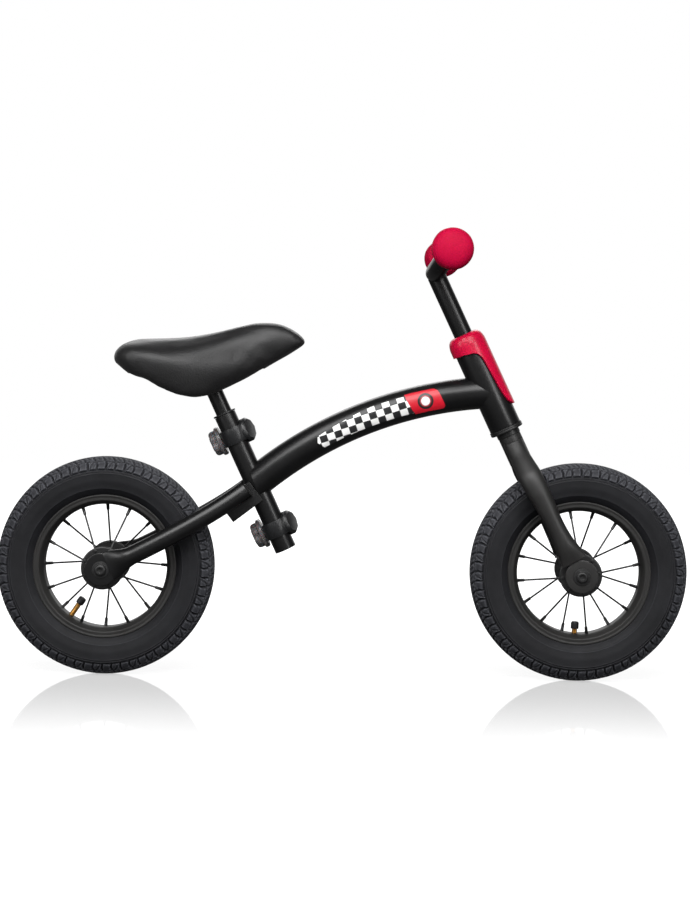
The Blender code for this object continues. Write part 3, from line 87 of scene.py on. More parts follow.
# ---- material kit ----
class Graph:
    """A short way to write one material's node tree."""

    def __init__(self, name):
        self.material = bpy.data.materials.new(name)
        self.material.use_nodes = True
        self.tree = self.material.node_tree
        self.shader = self.tree.nodes["Principled BSDF"]
        self.place = self.add("ShaderNodeTexCoord").outputs["Object"]

    def add(self, kind, **settings):
        node = self.tree.nodes.new(kind)
        for key, value in settings.items():
            setattr(node, key, value)
        return node

    def plug(self, socket, value):
        if isinstance(value, bpy.types.NodeSocket):
            self.tree.links.new(value, socket)
        elif value is not None:
            socket.default_value = value

    def maths(self, operation, a, b=None):
        node = self.add("ShaderNodeMath", operation=operation)
        self.plug(node.inputs[0], a)
        self.plug(node.inputs[1], b)
        return node.outputs[0]

    def plus(self, a, b):
        return self.maths("ADD", a, b)

    def minus(self, a, b):
        return self.maths("SUBTRACT", a, b)

    def times(self, a, b):
        return self.maths("MULTIPLY", a, b)

    def size(self, a):
        return self.maths("ABSOLUTE", a)

    def length(self, a, b):
        return self.maths("SQRT", self.plus(self.times(a, a), self.times(b, b)))

    def parts(self):
        """The x, y and z of the place on the object."""
        split = self.add("ShaderNodeSeparateXYZ")
        self.plug(split.inputs[0], self.place)
        return split.outputs

    def mix(self, amount, a, b):
        node = self.add("ShaderNodeMix", data_type="RGBA")
        self.plug(node.inputs[0], amount)
        for index, value in ((6, a), (7, b)):
            self.plug(node.inputs[index], (*value, 1) if isinstance(value, tuple) else value)
        return node.outputs[2]

    def between(self, value, low, high):
        """0 below low, 1 above high."""
        node = self.add("ShaderNodeMapRange", interpolation_type="SMOOTHSTEP")
        self.plug(node.inputs[0], value)
        node.inputs[1].default_value = low
        node.inputs[2].default_value = high
        return node.outputs[0]

    def spread(self, value, low, high):
        node = self.add("ShaderNodeMapRange")
        self.plug(node.inputs[0], value)
        node.inputs[3].default_value = low
        node.inputs[4].default_value = high
        return node.outputs[0]

    def noise(self, scale, detail, roughness, stretch=None):
        where = self.place
        if stretch:
            mapping = self.add("ShaderNodeMapping")
            self.plug(mapping.inputs[0], where)
            mapping.inputs["Scale"].default_value = stretch
            where = mapping.outputs[0]
        node = self.add("ShaderNodeTexNoise")
        self.plug(node.inputs["Vector"], where)
        node.inputs["Scale"].default_value = scale
        node.inputs["Detail"].default_value = detail
        node.inputs["Roughness"].default_value = roughness
        return node.outputs[0]

    def cells(self, scale, feature="F1"):
        node = self.add("ShaderNodeTexVoronoi", feature=feature)
        self.plug(node.inputs["Vector"], self.place)
        node.inputs["Scale"].default_value = scale
        return node.outputs["Distance"]

    def edges(self, low, high):
        return self.between(self.add("ShaderNodeNewGeometry").outputs["Pointiness"], low, high)

    def colour(self, value):
        self.plug(self.shader.inputs["Base Color"], (*value, 1) if isinstance(value, tuple) else value)

    def set(self, **sockets):
        for key, value in sockets.items():
            self.plug(self.shader.inputs[key.replace("_", " ")], value)

    def bump(self, height, distance, strength=1.0):
        node = self.add("ShaderNodeBump")
        self.plug(node.inputs["Height"], height)
        node.inputs["Distance"].default_value = distance
        node.inputs["Strength"].default_value = strength
        self.plug(self.shader.inputs["Normal"], node.outputs[0])


def painted(name, dark, light, rough_low, rough_high, orange_peel, specular=0.5):
    """Sprayed paint: faint mottling, orange peel, fine scuffs, and a little wear where edges stick out."""
    g = Graph(name)
    cloud = g.noise(26.0, 4.0, 0.55)
    base = g.mix(g.between(cloud, 0.3, 0.7), dark, light)
    scuff = g.between(g.noise(90.0, 6.0, 0.75, (1.0, 1.0, 0.16)), 0.62, 0.72)
    worn = g.times(g.edges(0.53, 0.62), g.between(g.noise(160.0, 5.0, 0.7), 0.45, 0.65))
    lifted = tuple(value * 1.9 + 0.012 for value in light)
    g.colour(g.mix(g.times(worn, 0.45), base, lifted))
    rough = g.spread(g.noise(60.0, 5.0, 0.6), rough_low, rough_high)
    g.set(Roughness=g.plus(rough, g.times(scuff, 0.07)))
    g.bump(g.noise(orange_peel, 2.0, 0.5), 0.00002)
    g.set(Specular_IOR_Level=specular)
    return g


def moulded(name, dark, light, rough_low, rough_high, grain, depth, specular=0.5):
    """Injection-moulded plastic or rubber: spark-eroded grain, colour drift, polished edges lightened as a
    painted highlight.
    """
    g = Graph(name)
    base = g.mix(g.between(g.noise(34.0, 4.0, 0.55), 0.3, 0.7), dark, light)
    polish_and_highlight = g.edges(0.52, 0.60)
    # Painted highlight: convex edges are lightened in colour; their lower roughness is real polish.
    g.colour(g.mix(g.times(polish_and_highlight, 0.25), base, tuple(min(1, v * 1.35 + 0.01) for v in light)))
    rough = g.spread(g.noise(120.0, 4.0, 0.6), rough_low, rough_high)
    g.set(Roughness=g.minus(rough, g.times(polish_and_highlight, 0.08)))
    fine = g.cells(grain)
    g.bump(g.plus(fine, g.noise(grain * 0.6, 3.0, 0.6)), depth)
    g.set(Specular_IOR_Level=specular)
    return g


def metal(name, dark, light, rough_low, rough_high):
    """Turned metal: fine concentric-looking brushing and a thin tarnish."""
    g = Graph(name)
    tarnish = g.between(g.noise(70.0, 6.0, 0.65), 0.4, 0.7)
    g.colour(g.mix(tarnish, light, dark))
    g.set(Roughness=g.spread(g.noise(180.0, 5.0, 0.6), rough_low, rough_high))
    g.bump(g.noise(900.0, 3.0, 0.6, (0.3, 0.3, 1.0)), 0.00004)
    g.set(Metallic=1.0)
    return g


GLOSS_PAINT = ((0.0022, 0.0022, 0.0024), (0.0040, 0.0040, 0.0043), 0.27, 0.35, 520.0)
GLOSS = painted("gloss_black", *GLOSS_PAINT)
MATTE = painted(
    "matte_dark_grey", (0.0110, 0.0106, 0.0104), (0.0155, 0.0150, 0.0147), 0.40, 0.50, 900.0, 0.45)
RIM_PAINT = painted(
    "rim_grey", (0.0120, 0.0116, 0.0112), (0.0170, 0.0164, 0.0158), 0.42, 0.52, 900.0, 0.4)
BLACK_PLASTIC = moulded(
    "black_plastic", (0.0050, 0.0052, 0.0058), (0.0085, 0.0088, 0.0096), 0.34, 0.44, 1500.0, 0.00004)
BLACK_STEEL = painted("black_steel", (0.0070, 0.0070, 0.0072), (0.0120, 0.0120, 0.0122), 0.34, 0.44, 1100.0)
BARE_STEEL = metal("bare_steel", (0.34, 0.34, 0.35), (0.56, 0.56, 0.57), 0.24, 0.38)
BRASS = metal("brass", (0.42, 0.22, 0.06), (0.80, 0.50, 0.17), 0.22, 0.36)
CRIMSON = moulded(
    "crimson_plastic", (0.44, 0.0008, 0.029), (0.52, 0.0015, 0.037), 0.24, 0.32, 1700.0, 0.00001, 0.35)
CRIMSON_SOFT = moulded(
    "crimson_rubber", (0.32, 0.0006, 0.024), (0.38, 0.0012, 0.031), 0.55, 0.65, 1200.0, 0.00005, 0.08)
for red in (CRIMSON, CRIMSON_SOFT):
    red.set(Subsurface_Weight=0.06, Subsurface_Scale=0.004)


def knob_material():
    """Smoky translucent plastic, clearer at its thin edges."""
    g = moulded("smoky_knob", (0.105, 0.096, 0.099), (0.150, 0.138, 0.143), 0.20, 0.30, 1300.0, 0.00002)
    g.set(Transmission_Weight=0.18, IOR=1.49, Subsurface_Weight=0.20, Subsurface_Scale=0.003)
    return g


KNOB = knob_material()


def rubber_material(name, dark, light, highlight_share):
    """Tyre rubber: bluish charcoal, mould grain, painted shade in grooves, painted highlight on convex edges.
    """
    g = Graph(name)
    cloud = g.between(g.noise(30.0, 5.0, 0.6), 0.32, 0.68)
    base = g.mix(cloud, dark, light)
    # Painted shade: concave places such as the tread grooves are darkened in colour.
    groove_shade = g.edges(0.50, 0.44)
    # Painted highlight: convex edges are lightened towards a pale bluish grey.
    edge_highlight = g.edges(0.505, 0.56)
    base = g.mix(g.times(groove_shade, 0.75), base, (0.0035, 0.0036, 0.0042))
    g.colour(g.mix(g.times(edge_highlight, highlight_share), base, (0.085, 0.088, 0.100)))
    g.set(Roughness=g.spread(g.noise(110.0, 4.0, 0.6), 0.58, 0.72))
    grain = g.plus(g.noise(1100.0, 3.0, 0.6), g.times(g.noise(320.0, 4.0, 0.6), 0.7))
    g.bump(grain, 0.00010)
    g.set(Specular_IOR_Level=0.35)
    return g


# The last number is how strongly the painted highlight lightens convex edges.
SIDEWALL = rubber_material("tyre_sidewall", (0.0034, 0.0035, 0.0048), (0.0062, 0.0064, 0.0082), 0.25)
TREAD = rubber_material("tyre_tread", (0.0170, 0.0174, 0.0210), (0.0260, 0.0266, 0.0315), 0.60)


def saddle_material():
    """Black grained vinyl skin."""
    g = Graph("saddle_vinyl")
    cloud = g.between(g.noise(22.0, 4.0, 0.55), 0.3, 0.7)
    g.colour(g.mix(cloud, (0.0050, 0.0049, 0.0052), (0.0085, 0.0083, 0.0086)))
    g.set(Roughness=g.spread(g.noise(70.0, 5.0, 0.6), 0.40, 0.52))
    leather = g.cells(620.0, "SMOOTH_F1")
    g.bump(g.plus(leather, g.times(g.noise(1500.0, 3.0, 0.6), 0.5)), 0.00012)
    g.set(Sheen_Weight=0.08, Sheen_Roughness=0.4)
    return g


SADDLE = saddle_material()
LOOKS = {
    "gloss_black_paint": GLOSS, "matte_dark_grey_paint": MATTE, "black_plastic": BLACK_PLASTIC,
    "black_steel": BLACK_STEEL, "bare_steel": BARE_STEEL, "brass": BRASS, "tyre_rubber": SIDEWALL,
    "tube_rubber": SIDEWALL, "crimson_plastic": CRIMSON, "crimson_rubber": CRIMSON_SOFT,
    "grey_knob_plastic": KNOB, "saddle_skin": SADDLE}


# ---- mesh kit ----
def piece(node, mesh, slot, body, place=None, graph=None, name=None):
    """Put a mesh in the scene, in the row frame, as a piece of that body and in place of a CAD node."""
    item = bpy.data.objects.new(name or node + "_look", mesh)
    PIECES.objects.link(item)
    if place:
        mesh.transform(place)
    mesh.materials.append((graph or LOOKS[slot]).material)
    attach(item, body)
    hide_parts(node)
    return item


def circle(steps, offset=0.0):
    """Evenly spaced angles."""
    return [2 * math.pi * (step + offset) / steps for step in range(steps)]


def polar(radius, angle, height):
    return Vector((radius * math.cos(angle), radius * math.sin(angle), height))


def scale_reach(vertex, factor):
    vertex.co.x *= factor
    vertex.co.y *= factor


def finish_mesh(edit, sharp=CREASE):
    """Turn a bmesh into a smooth-shaded mesh with its corners kept sharp."""
    bmesh.ops.recalc_face_normals(edit, faces=edit.faces)
    for face in edit.faces:
        face.smooth = True
    for edge in edit.edges:
        if len(edge.link_faces) == 2 and edge.calc_face_angle(0) > sharp:
            edge.smooth = False
    mesh = bpy.data.meshes.new("mesh")
    edit.to_mesh(mesh)
    edit.free()
    return mesh


def rounded(outline, radius, closed=True):
    """Round the corners of a (radius, height) outline. Points on the axis stay."""
    result = []
    count = len(outline)
    steps = 3
    for index, point in enumerate(outline):
        before, after = outline[index - 1], outline[(index + 1) % count]
        end = not closed and index in (0, count - 1)
        here = Vector(point)
        a, b = Vector(before) - here, Vector(after) - here
        reach = min(radius, a.length * 0.45, b.length * 0.45)
        if end or point[0] < 1e-6 or reach < 1e-6 or a.angle(b, math.pi) > math.radians(165):
            result.append(tuple(point))
            continue
        first, last = here + a.normalized() * reach, here + b.normalized() * reach
        for step in range(steps + 1):
            t = step / steps
            result.append(tuple(first * (1 - t) ** 2 + here * 2 * t * (1 - t) + last * t ** 2))
    return result


def turned(outline, steps=64, closed=True):
    """A bmesh of an outline turned about local Z."""
    edit = bmesh.new()
    rings = []
    for radius, height in outline:
        if radius < 1e-6:
            rings.append([edit.verts.new((0, 0, height))])
        else:
            rings.append([edit.verts.new(polar(radius, a, height)) for a in circle(steps)])
    pairs = list(zip(rings, rings[1:] + rings[:1])) if closed else list(zip(rings, rings[1:]))
    for ring, following in pairs:
        if len(ring) == 1 and len(following) == 1:
            continue
        for step in range(steps):
            after = (step + 1) % steps
            if len(ring) == 1:
                edit.faces.new((ring[0], following[step], following[after]))
            elif len(following) == 1:
                edit.faces.new((ring[step], following[0], ring[after]))
            else:
                edit.faces.new((ring[step], following[step], following[after], ring[after]))
    return edit


def turned_piece(node, outline, slot, body, place, steps=64, radius=0.0004, closed=True, **more):
    """A turned piece, its corners rounded to that radius."""
    edit = turned(rounded(outline, radius, closed) if radius else outline, steps, closed)
    return piece(node, finish_mesh(edit), slot, body, place, **more)


def ring_section(outer, inner, low, high):
    return [(inner, high), (outer, high), (outer, low), (inner, low)]


def mirrored(points):
    return points + [(radius, -side) for radius, side in reversed(points)]


def spline(values, amount):
    """A Catmull-Rom value through a list, by parts of its length."""
    last = len(values) - 1
    at = min(max(amount, 0.0), 1.0) * last
    index = min(int(at), last - 1)
    t = at - index
    p0, p1 = values[max(index - 1, 0)], values[index]
    p2, p3 = values[index + 1], values[min(index + 2, last)]
    return 0.5 * (2 * p1 + (p2 - p0) * t + (2 * p0 - 5 * p1 + 4 * p2 - p3) * t * t
                  + (3 * p1 - 3 * p2 + p3 - p0) * t * t * t)


def lofted(sections):
    """A closed skin over rings of points, with flat ends."""
    edit = bmesh.new()
    rings = [[edit.verts.new(point) for point in section] for section in sections]
    count = len(rings[0])
    for ring, following in zip(rings, rings[1:]):
        for index in range(count):
            after = (index + 1) % count
            edit.faces.new((ring[index], ring[after], following[after], following[index]))
    edit.faces.new(rings[0][::-1])
    edit.faces.new(rings[-1])
    return edit


def tube(points, radii, sides):
    """A round tube along points, its rings square to the route."""
    sections = []
    last = len(points) - 1
    normal = None
    for index, (point, radius) in enumerate(zip(points, radii)):
        along = (points[min(index + 1, last)] - points[max(index - 1, 0)]).normalized()
        if normal is None:
            normal = along.orthogonal().normalized()
        normal = (normal - along * normal.dot(along)).normalized()
        side = along.cross(normal)
        sections.append([point + (normal * math.cos(a) + side * math.sin(a)) * radius for a in circle(sides)])
    return lofted(sections)


def joined(edits, sharp=CREASE):
    """One mesh out of several bmeshes."""
    whole = bmesh.new()
    for edit in edits:
        scratch = bpy.data.meshes.new("scratch")
        bmesh.ops.recalc_face_normals(edit, faces=edit.faces)
        edit.to_mesh(scratch)
        edit.free()
        whole.from_mesh(scratch)
        bpy.data.meshes.remove(scratch)
    return finish_mesh(whole, sharp)


def moved(edit, matrix):
    bmesh.ops.transform(edit, matrix=matrix, verts=edit.verts)
    return edit


def sliced(edit, place, **dropped):
    """Cut a bmesh square to the seat tube's forward side, drop one part and close the cut."""
    cut = bmesh.ops.bisect_plane(
        edit, geom=edit.verts[:] + edit.edges[:] + edit.faces[:], dist=1e-6, plane_co=place,
        plane_no=SEAT_FORWARD, **dropped)
    edges = [e for e in cut["geom_cut"] if isinstance(e, bmesh.types.BMEdge)]
    bmesh.ops.holes_fill(edit, edges=edges, sides=0)
    return edit


def bevelled(item, width, limit):
    step = item.modifiers.new("Rounding", "BEVEL")
    step.width = width
    step.segments = 2
    step.limit_method = "ANGLE"
    step.angle_limit = limit
    return step


def ease(value):
    value = min(max(value, 0.0), 1.0)
    return value * value * (3 - 2 * value)


def blend(start, end, amount):
    return start + (end - start) * amount


def wheel_matrix(prefix):
    """Local Z to the bike's right side (-Y), local X to its front, local Y up."""
    return Matrix.Translation(HUBS[prefix]) @ Matrix.Rotation(math.pi / 2, 4, "X")


def on_wheel(prefix):
    return prefix + "_wheel", wheel_matrix(prefix)


def refined(node, width, slot, body):
    """A finer copy of a CAD node: its flat faces are cleaned and its edges rounded."""
    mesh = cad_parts[node].data.copy()
    mesh.materials.clear()
    edit = bmesh.new()
    edit.from_mesh(mesh)
    bmesh.ops.remove_doubles(edit, verts=edit.verts, dist=0.00001)
    bmesh.ops.dissolve_limit(edit, angle_limit=math.radians(1.5), verts=edit.verts, edges=edit.edges)
    for face in edit.faces:
        face.smooth = True
    edit.to_mesh(mesh)
    edit.free()
    item = piece(node, mesh, slot, body)
    bevelled(item, width, math.radians(28)).harden_normals = True


# ---- tyres ----
SECTION_RADIUS = 0.025
CENTRE_RADIUS = WHEEL_RADIUS - SECTION_RADIUS
BLOCKS = 68
STEPS_PER_BLOCK = 12
TREAD_LIMIT = math.radians(64)
SHOULDER_LINE = math.radians(36)
CENTRE_LINE = math.radians(11)
GROOVE_DEPTH = 0.0025
PITCH = 2 * math.pi * WHEEL_RADIUS / BLOCKS
ZIGZAG = 0.0011
TREAD_COLUMNS = 45
WALL_DEGREES = (
    69.4, 70.6, 71.8, 73.0, 75.0, 76.2, 77.4, 80, 84, 89, 94, 99, 104, 109, 113, 115, 116.5, 118, 119.5, 122,
    126, 131)
LIP = ((0.0838, 0.0158), (0.0802, 0.0128))


def groove(distance, width):
    """1 in the middle of a groove, 0 outside it, with short sloping walls."""
    return 1 - ease((abs(distance) - width * 0.5 + 0.0003) / 0.0006)


def to_line(distance):
    """Distance to the nearest of the lines that stand one block apart."""
    spot = distance % PITCH
    return min(spot, PITCH - spot)


def tread_depth(turn, section):
    """Depth of the tread pattern at a place given in blocks round the tyre and as a section angle."""
    across = abs(section) * SECTION_RADIUS
    edge = TREAD_LIMIT * SECTION_RADIUS
    depth = groove(across - edge, 0.0020)
    if across > edge:
        return depth * GROOVE_DEPTH
    place = turn + (0.5 if section < 0 else 0.0)
    zigzag = ZIGZAG * (abs((place % 2) - 1) * 2 - 1)
    shoulder = SHOULDER_LINE * SECTION_RADIUS + zigzag
    centre = CENTRE_LINE * SECTION_RADIUS + zigzag * 0.7
    depth = max(depth, groove(across - shoulder, 0.0018), groove(across - centre, 0.0015))
    if across > shoulder:
        index = math.floor(place)
        local = (place - index - 0.5) * PITCH
        share = (across - shoulder) / (edge - shoulder)
        bend = 0.0011 * math.sin(share * math.pi)
        near = min(abs(local - PITCH / 2 + bend), abs(local + PITCH / 2 + bend),
                   PITCH / 2 - abs(local) + abs(bend))
        depth = max(depth, groove(near, 0.0021))
        if index % 2 == 0:
            slit = groove(local - (share - 0.5) * PITCH * 0.62, 0.0009)
            depth = max(depth, 0.65 * slit * ease(share * 6))
        else:
            slit = groove(across - blend(shoulder, edge, 0.42), 0.0007)
            depth = max(depth, 0.45 * slit * ease((PITCH * 0.36 - abs(local)) / 0.001))
    elif across > centre:
        slant = (across - CENTRE_LINE * SECTION_RADIUS) * 0.55
        depth = max(depth, groove(to_line((place + 0.5) * PITCH + slant), 0.0013),
                    0.5 * groove(to_line(place * PITCH + slant), 0.0008))
    else:
        spot = to_line(place * PITCH * 0.5 + section * SECTION_RADIUS * 0.9)
        depth = max(depth, 0.7 * groove(spot, 0.0010))
    return depth * GROOVE_DEPTH


def wall_relief(degrees):
    """Height of the ribs and of the sunk band on a tyre's wall, by section angle."""
    height = -0.0006 * ease((degrees - 78) / 8) * ease((114 - degrees) / 8)
    for centre, width, rise in ((70.6, 1.6, 0.0005), (76.2, 1.6, 0.0004), (116.5, 2.6, 0.0006)):
        height += rise * ease(1 - abs(degrees - centre) / width)
    return height


def build_tyre(prefix):
    last = TREAD_COLUMNS - 1
    tread = [TREAD_LIMIT * 1.05 * (index / last * 2 - 1) for index in range(TREAD_COLUMNS)]
    wall = [math.radians(a) for a in WALL_DEGREES]
    edit = bmesh.new()
    columns = []
    for step, angle in enumerate(circle(BLOCKS * STEPS_PER_BLOCK)):
        points = []
        for a in [-a for a in reversed(wall)] + tread + wall:
            if abs(a) <= TREAD_LIMIT * 1.06:
                radius = SECTION_RADIUS - tread_depth(step / STEPS_PER_BLOCK, a)
            else:
                radius = SECTION_RADIUS + wall_relief(math.degrees(abs(a)))
            points.append((CENTRE_RADIUS + radius * math.cos(a), radius * math.sin(a)))
        points = [(r, -h) for r, h in reversed(LIP)] + points + list(LIP)
        columns.append([edit.verts.new(polar(r, angle, h)) for r, h in points])
    tread_first = len(LIP) + len(wall)
    for here, after in zip(columns, columns[1:] + columns[:1]):
        for index in range(len(here) - 1):
            face = edit.faces.new((here[index], here[index + 1], after[index + 1], after[index]))
            face.material_index = 1 if tread_first <= index < tread_first + last else 0
    mesh = finish_mesh(edit, math.radians(60))
    piece(prefix + "_tyre", mesh, "tyre_rubber", *on_wheel(prefix))
    mesh.materials.append(TREAD.material)


# ---- rims, spokes, hubs and valves ----
RIM_FLANGE_RADIUS = 0.084
RIM_OPENING_RADIUS = 0.0722
RIM_HALF = 0.017
FLANGE_RADIUS = 0.025
FLANGE_SIDE = 0.035
SPOKES_PER_SIDE = 8
SPOKE_RADIUS = 0.0011
NIPPLE_RADIUS = 0.0019
NIPPLE_LENGTH = 0.010
SPOKE_PITCH_RADIUS = 0.0215


def build_rim(prefix):
    half, edge, opening = RIM_HALF, RIM_FLANGE_RADIUS, RIM_OPENING_RADIUS
    seat = edge - 0.005
    upper = [
        (seat - 0.0025, 0.008), (seat, half - 0.0068), (seat, half - 0.0028), (edge, half - 0.0022),
        (edge + 0.0002, half - 0.0004), (edge - 0.0016, half + 0.0001), (edge - 0.0032, half - 0.0006),
        (edge - 0.0068, half - 0.0002), (opening + 0.0018, half * 0.72), (opening, half * 0.48)]
    turned_piece(prefix + "_rim", mirrored(upper), "matte_dark_grey_paint", *on_wheel(prefix), 128, 0.0010,
                 graph=RIM_PAINT)


def build_spokes(prefix, side_name, side, start):
    """A hub flange with a rolled rim, and its spokes with their heads and square-shouldered nipples."""
    face = side * FLANGE_SIDE
    flange = (
        (0.0098, 0.0015), (0.0150, 0.0015), (0.0185, 0.0009), (FLANGE_RADIUS - 0.0012, 0.0013),
        (FLANGE_RADIUS, 0.0004), (FLANGE_RADIUS, -0.0008), (FLANGE_RADIUS - 0.0010, -0.0015),
        (0.0098, -0.0015))
    edits = [turned(rounded([(radius, face + up) for radius, up in flange], 0.0008))]
    for turn in circle(SPOKES_PER_SIDE):
        angle = start + turn
        hub_end = polar(SPOKE_PITCH_RADIUS, angle, face)
        rim_end = polar(RIM_OPENING_RADIUS + 0.0006, angle, side * 0.004)
        along = (rim_end - hub_end).normalized()
        collar = rim_end - along * NIPPLE_LENGTH
        steps = [
            (hub_end - along * 0.0008, 0.0004), (hub_end, SPOKE_RADIUS),
            (collar - along * 0.0006, SPOKE_RADIUS), (collar, NIPPLE_RADIUS * 0.80),
            (collar + along * 0.0006, NIPPLE_RADIUS * 0.95), (rim_end - along * 0.0035, NIPPLE_RADIUS),
            (rim_end, NIPPLE_RADIUS * 1.12)]
        edits.append(tube([point for point, _ in steps], [radius for _, radius in steps], 12))
        head = turned(rounded([(0, 0.0011), (0.0019, 0.0008), (0.0021, 0.0), (0, 0.0)], 0.0003), 16)
        flip = Matrix.Rotation(0 if side > 0 else math.pi, 4, "X")
        edits.append(moved(head, Matrix.Translation(hub_end + Vector((0, 0, side * 0.0013))) @ flip))
    piece(f"{prefix}_spokes_{side_name}", joined(edits), "black_steel", *on_wheel(prefix))


def build_hub(prefix):
    inner = FLANGE_SIDE - 0.0018
    upper = [(0.0098, inner), (0.0150, inner), (0.0140, inner - 0.004), (0.0122, inner - 0.010),
             (0.0118, 0.004)]
    turned_piece(prefix + "_hub_barrel", mirrored(upper), "black_steel", *on_wheel(prefix), 48, 0.0012,
                 name=prefix + "_hub_look")
    for name, side in WHEEL_SIDES:
        face, sunk, back = (side * (FLANGE_SIDE + step) for step in (0.0015, 0.0009, -0.0055))
        outline = [(0.0053, face), (0.0066, face), (0.0068, sunk), (0.0083, sunk), (0.0085, face),
                   (0.0095, face), (0.0095, back), (0.0053, back)]
        turned_piece(f"{prefix}_bearing_{name}", outline, "bare_steel", *on_wheel(prefix), 40, 0)


def build_valve(prefix):
    """A threaded brass stem with its knurled cap, where the CAD valve is."""
    body, wheel = on_wheel(prefix)
    to_cap = box_centre(prefix + "_valve_cap") - HUBS[prefix]
    angle = math.atan2(to_cap.z, to_cap.x)
    root = 0.0805
    length = root - to_cap.length + 0.0043
    inward = Vector((-math.cos(angle), -math.sin(angle), 0)).to_track_quat("Z", "Y").to_matrix().to_4x4()
    place = wheel @ Matrix.Translation(polar(root, angle, 0)) @ inward
    base = length - 0.0085
    stem = [(0, 0), (0.0032, 0)]
    height = 0.004
    while height < base - 0.0006:
        stem += [(0.0032, height), (0.0029, height + 0.00035), (0.0032, height + 0.0007)]
        height += 0.0008
    stem += [(0.0030, base - 0.0003), (0.0022, base - 0.0003), (0, length - 0.003)]
    turned_piece(prefix + "_valve", stem, "brass", body, place, 32, 0, False)
    cap = [(0, base), (0.0047, base), (0.0047, length - 0.0016), (0.0036, length), (0, length)]
    edit = turned(rounded(cap, 0.0006, False), 72, False)
    for vertex in edit.verts:
        reach = math.hypot(vertex.co.x, vertex.co.y)
        if reach > 0.0045 and base + 0.0015 < vertex.co.z < length - 0.001:
            scale_reach(vertex, 1 - 0.045 * (1 - math.cos(18 * math.atan2(vertex.co.y, vertex.co.x))))
    piece(prefix + "_valve_cap", finish_mesh(edit), "black_plastic", body, place)


def build_axle_bolts(prefix, body):
    """Round heads in a ring, each with a hexagon socket."""
    sector = math.pi / 3
    for name, side in WHEEL_SIDES:
        base = side * (DROPOUT_SIDE + 0.0025)
        washer, top = base + side * 0.0012, base + side * 0.0057
        outline = [
            (0, base - side * 0.010), (0.0028, base - side * 0.010), (0.0028, base), (0.0098, base),
            (0.0098, washer), (0.0068, washer), (0.0068, top - side * 0.0015), (0.0050, top),
            (0.0031, top), (0.0031, top - side * 0.0025), (0, top - side * 0.0025)]
        edit = turned(rounded(outline, 0.0007, False), 48, False)
        for vertex in edit.verts:
            reach = math.hypot(vertex.co.x, vertex.co.y)
            if abs(vertex.co.z) > abs(washer) + 0.001 and 0.0001 < reach < 0.0036:
                turn = (math.atan2(vertex.co.y, vertex.co.x) + sector / 2) % sector - sector / 2
                scale_reach(vertex, math.cos(sector / 2) / math.cos(turn) * 1.06)
        place = wheel_matrix(prefix)
        piece(f"{prefix}_axle_bolt_{name}", finish_mesh(edit), "black_steel", body, place)


# ---- fork and rear stays ----
def oval_sections(centres, depths, widths, count, sides=40):
    """Oval rings square to a route in the side view, as splines through stations."""
    sections = []
    for index in range(count):
        t = index / (count - 1)
        centre = spline(centres, t)
        before, after = spline(centres, max(t - 0.01, 0)), spline(centres, min(t + 0.01, 1))
        along = Vector((after.x - before.x, 0, after.z - before.z)).normalized()
        normal = Vector((along.z, 0, -along.x))
        depth, width = spline(depths, t), spline(widths, t)
        sections.append([centre + normal * depth * math.cos(a) + Vector((0, width * math.sin(a), 0))
                         for a in circle(sides, 0.5)])
    return sections


def dropout_disc(side):
    """The pressed flat end of a blade or stay, with a rolled edge, in a wheel's own frame."""
    low, high = side * DROPOUT_SIDE - DROPOUT_HALF, side * DROPOUT_SIDE + DROPOUT_HALF
    return turned(rounded(ring_section(0.0190, 0.0031, low, high), 0.0009), 72)


def build_fork_blades():
    top = CROWN_LOW + 0.026
    at_crown = 0.010
    at_tyre = 0.025 + 0.006 + 0.0105
    bulge = WHEEL_RADIUS - 0.006
    steerer = 0.0137
    stations = (
        (top, 0.0, at_crown, 0.0118, 0.0095),
        (blend(bulge, top, 0.72), 0.0, blend(at_crown, at_tyre, 0.24), 0.0118, 0.0105),
        (blend(bulge, top, 0.44), 0.0005, blend(at_crown, at_tyre, 0.60), 0.0128, 0.0105),
        (blend(bulge, top, 0.16), 0.0010, blend(at_crown, at_tyre, 0.90), 0.0140, 0.0105),
        (bulge - 0.010, 0.0018, at_tyre + 0.0015, 0.0132, 0.0105),
        (bulge * 0.78, 0.0028, blend(at_tyre, DROPOUT_SIDE, 0.40), 0.0120, 0.0105),
        (bulge * 0.57, 0.0033, blend(at_tyre, DROPOUT_SIDE, 0.60), 0.0108, 0.0105),
        (bulge * 0.39, 0.0040, blend(at_tyre, DROPOUT_SIDE, 0.80), 0.0118, 0.0103),
        (bulge * 0.28, 0.0052, blend(at_tyre, DROPOUT_SIDE, 0.93), 0.0135, 0.0085),
        (0.0195, 0.0062, DROPOUT_SIDE, 0.0155, 0.0040))
    for name, side in SIDES:
        centres = [Vector((forward, side * across, height)) for height, forward, across, _, _ in stations]
        sections = oval_sections(centres, [row[3] for row in stations], [row[4] for row in stations], 90)
        for point in (point for section in sections for point in section):
            if point.z > 0.140 and math.hypot(point.x, point.y) < steerer:
                point.y = side * math.sqrt(steerer ** 2 - point.x ** 2)
            if point.y * side < GAP / 2:
                point.y = side * GAP / 2
        blade = moved(lofted(sections), STEER)
        disc = moved(dropout_disc(-side), wheel_matrix("front"))
        mesh = joined([blade, disc], math.radians(50))
        piece("fork_blade_" + name, mesh, "matte_dark_grey_paint", "steering")


def bezier(points, amount):
    a, b, c, d = points
    rest = 1 - amount
    return a * rest ** 3 + b * 3 * rest * rest * amount + c * 3 * rest * amount ** 2 + d * amount ** 3


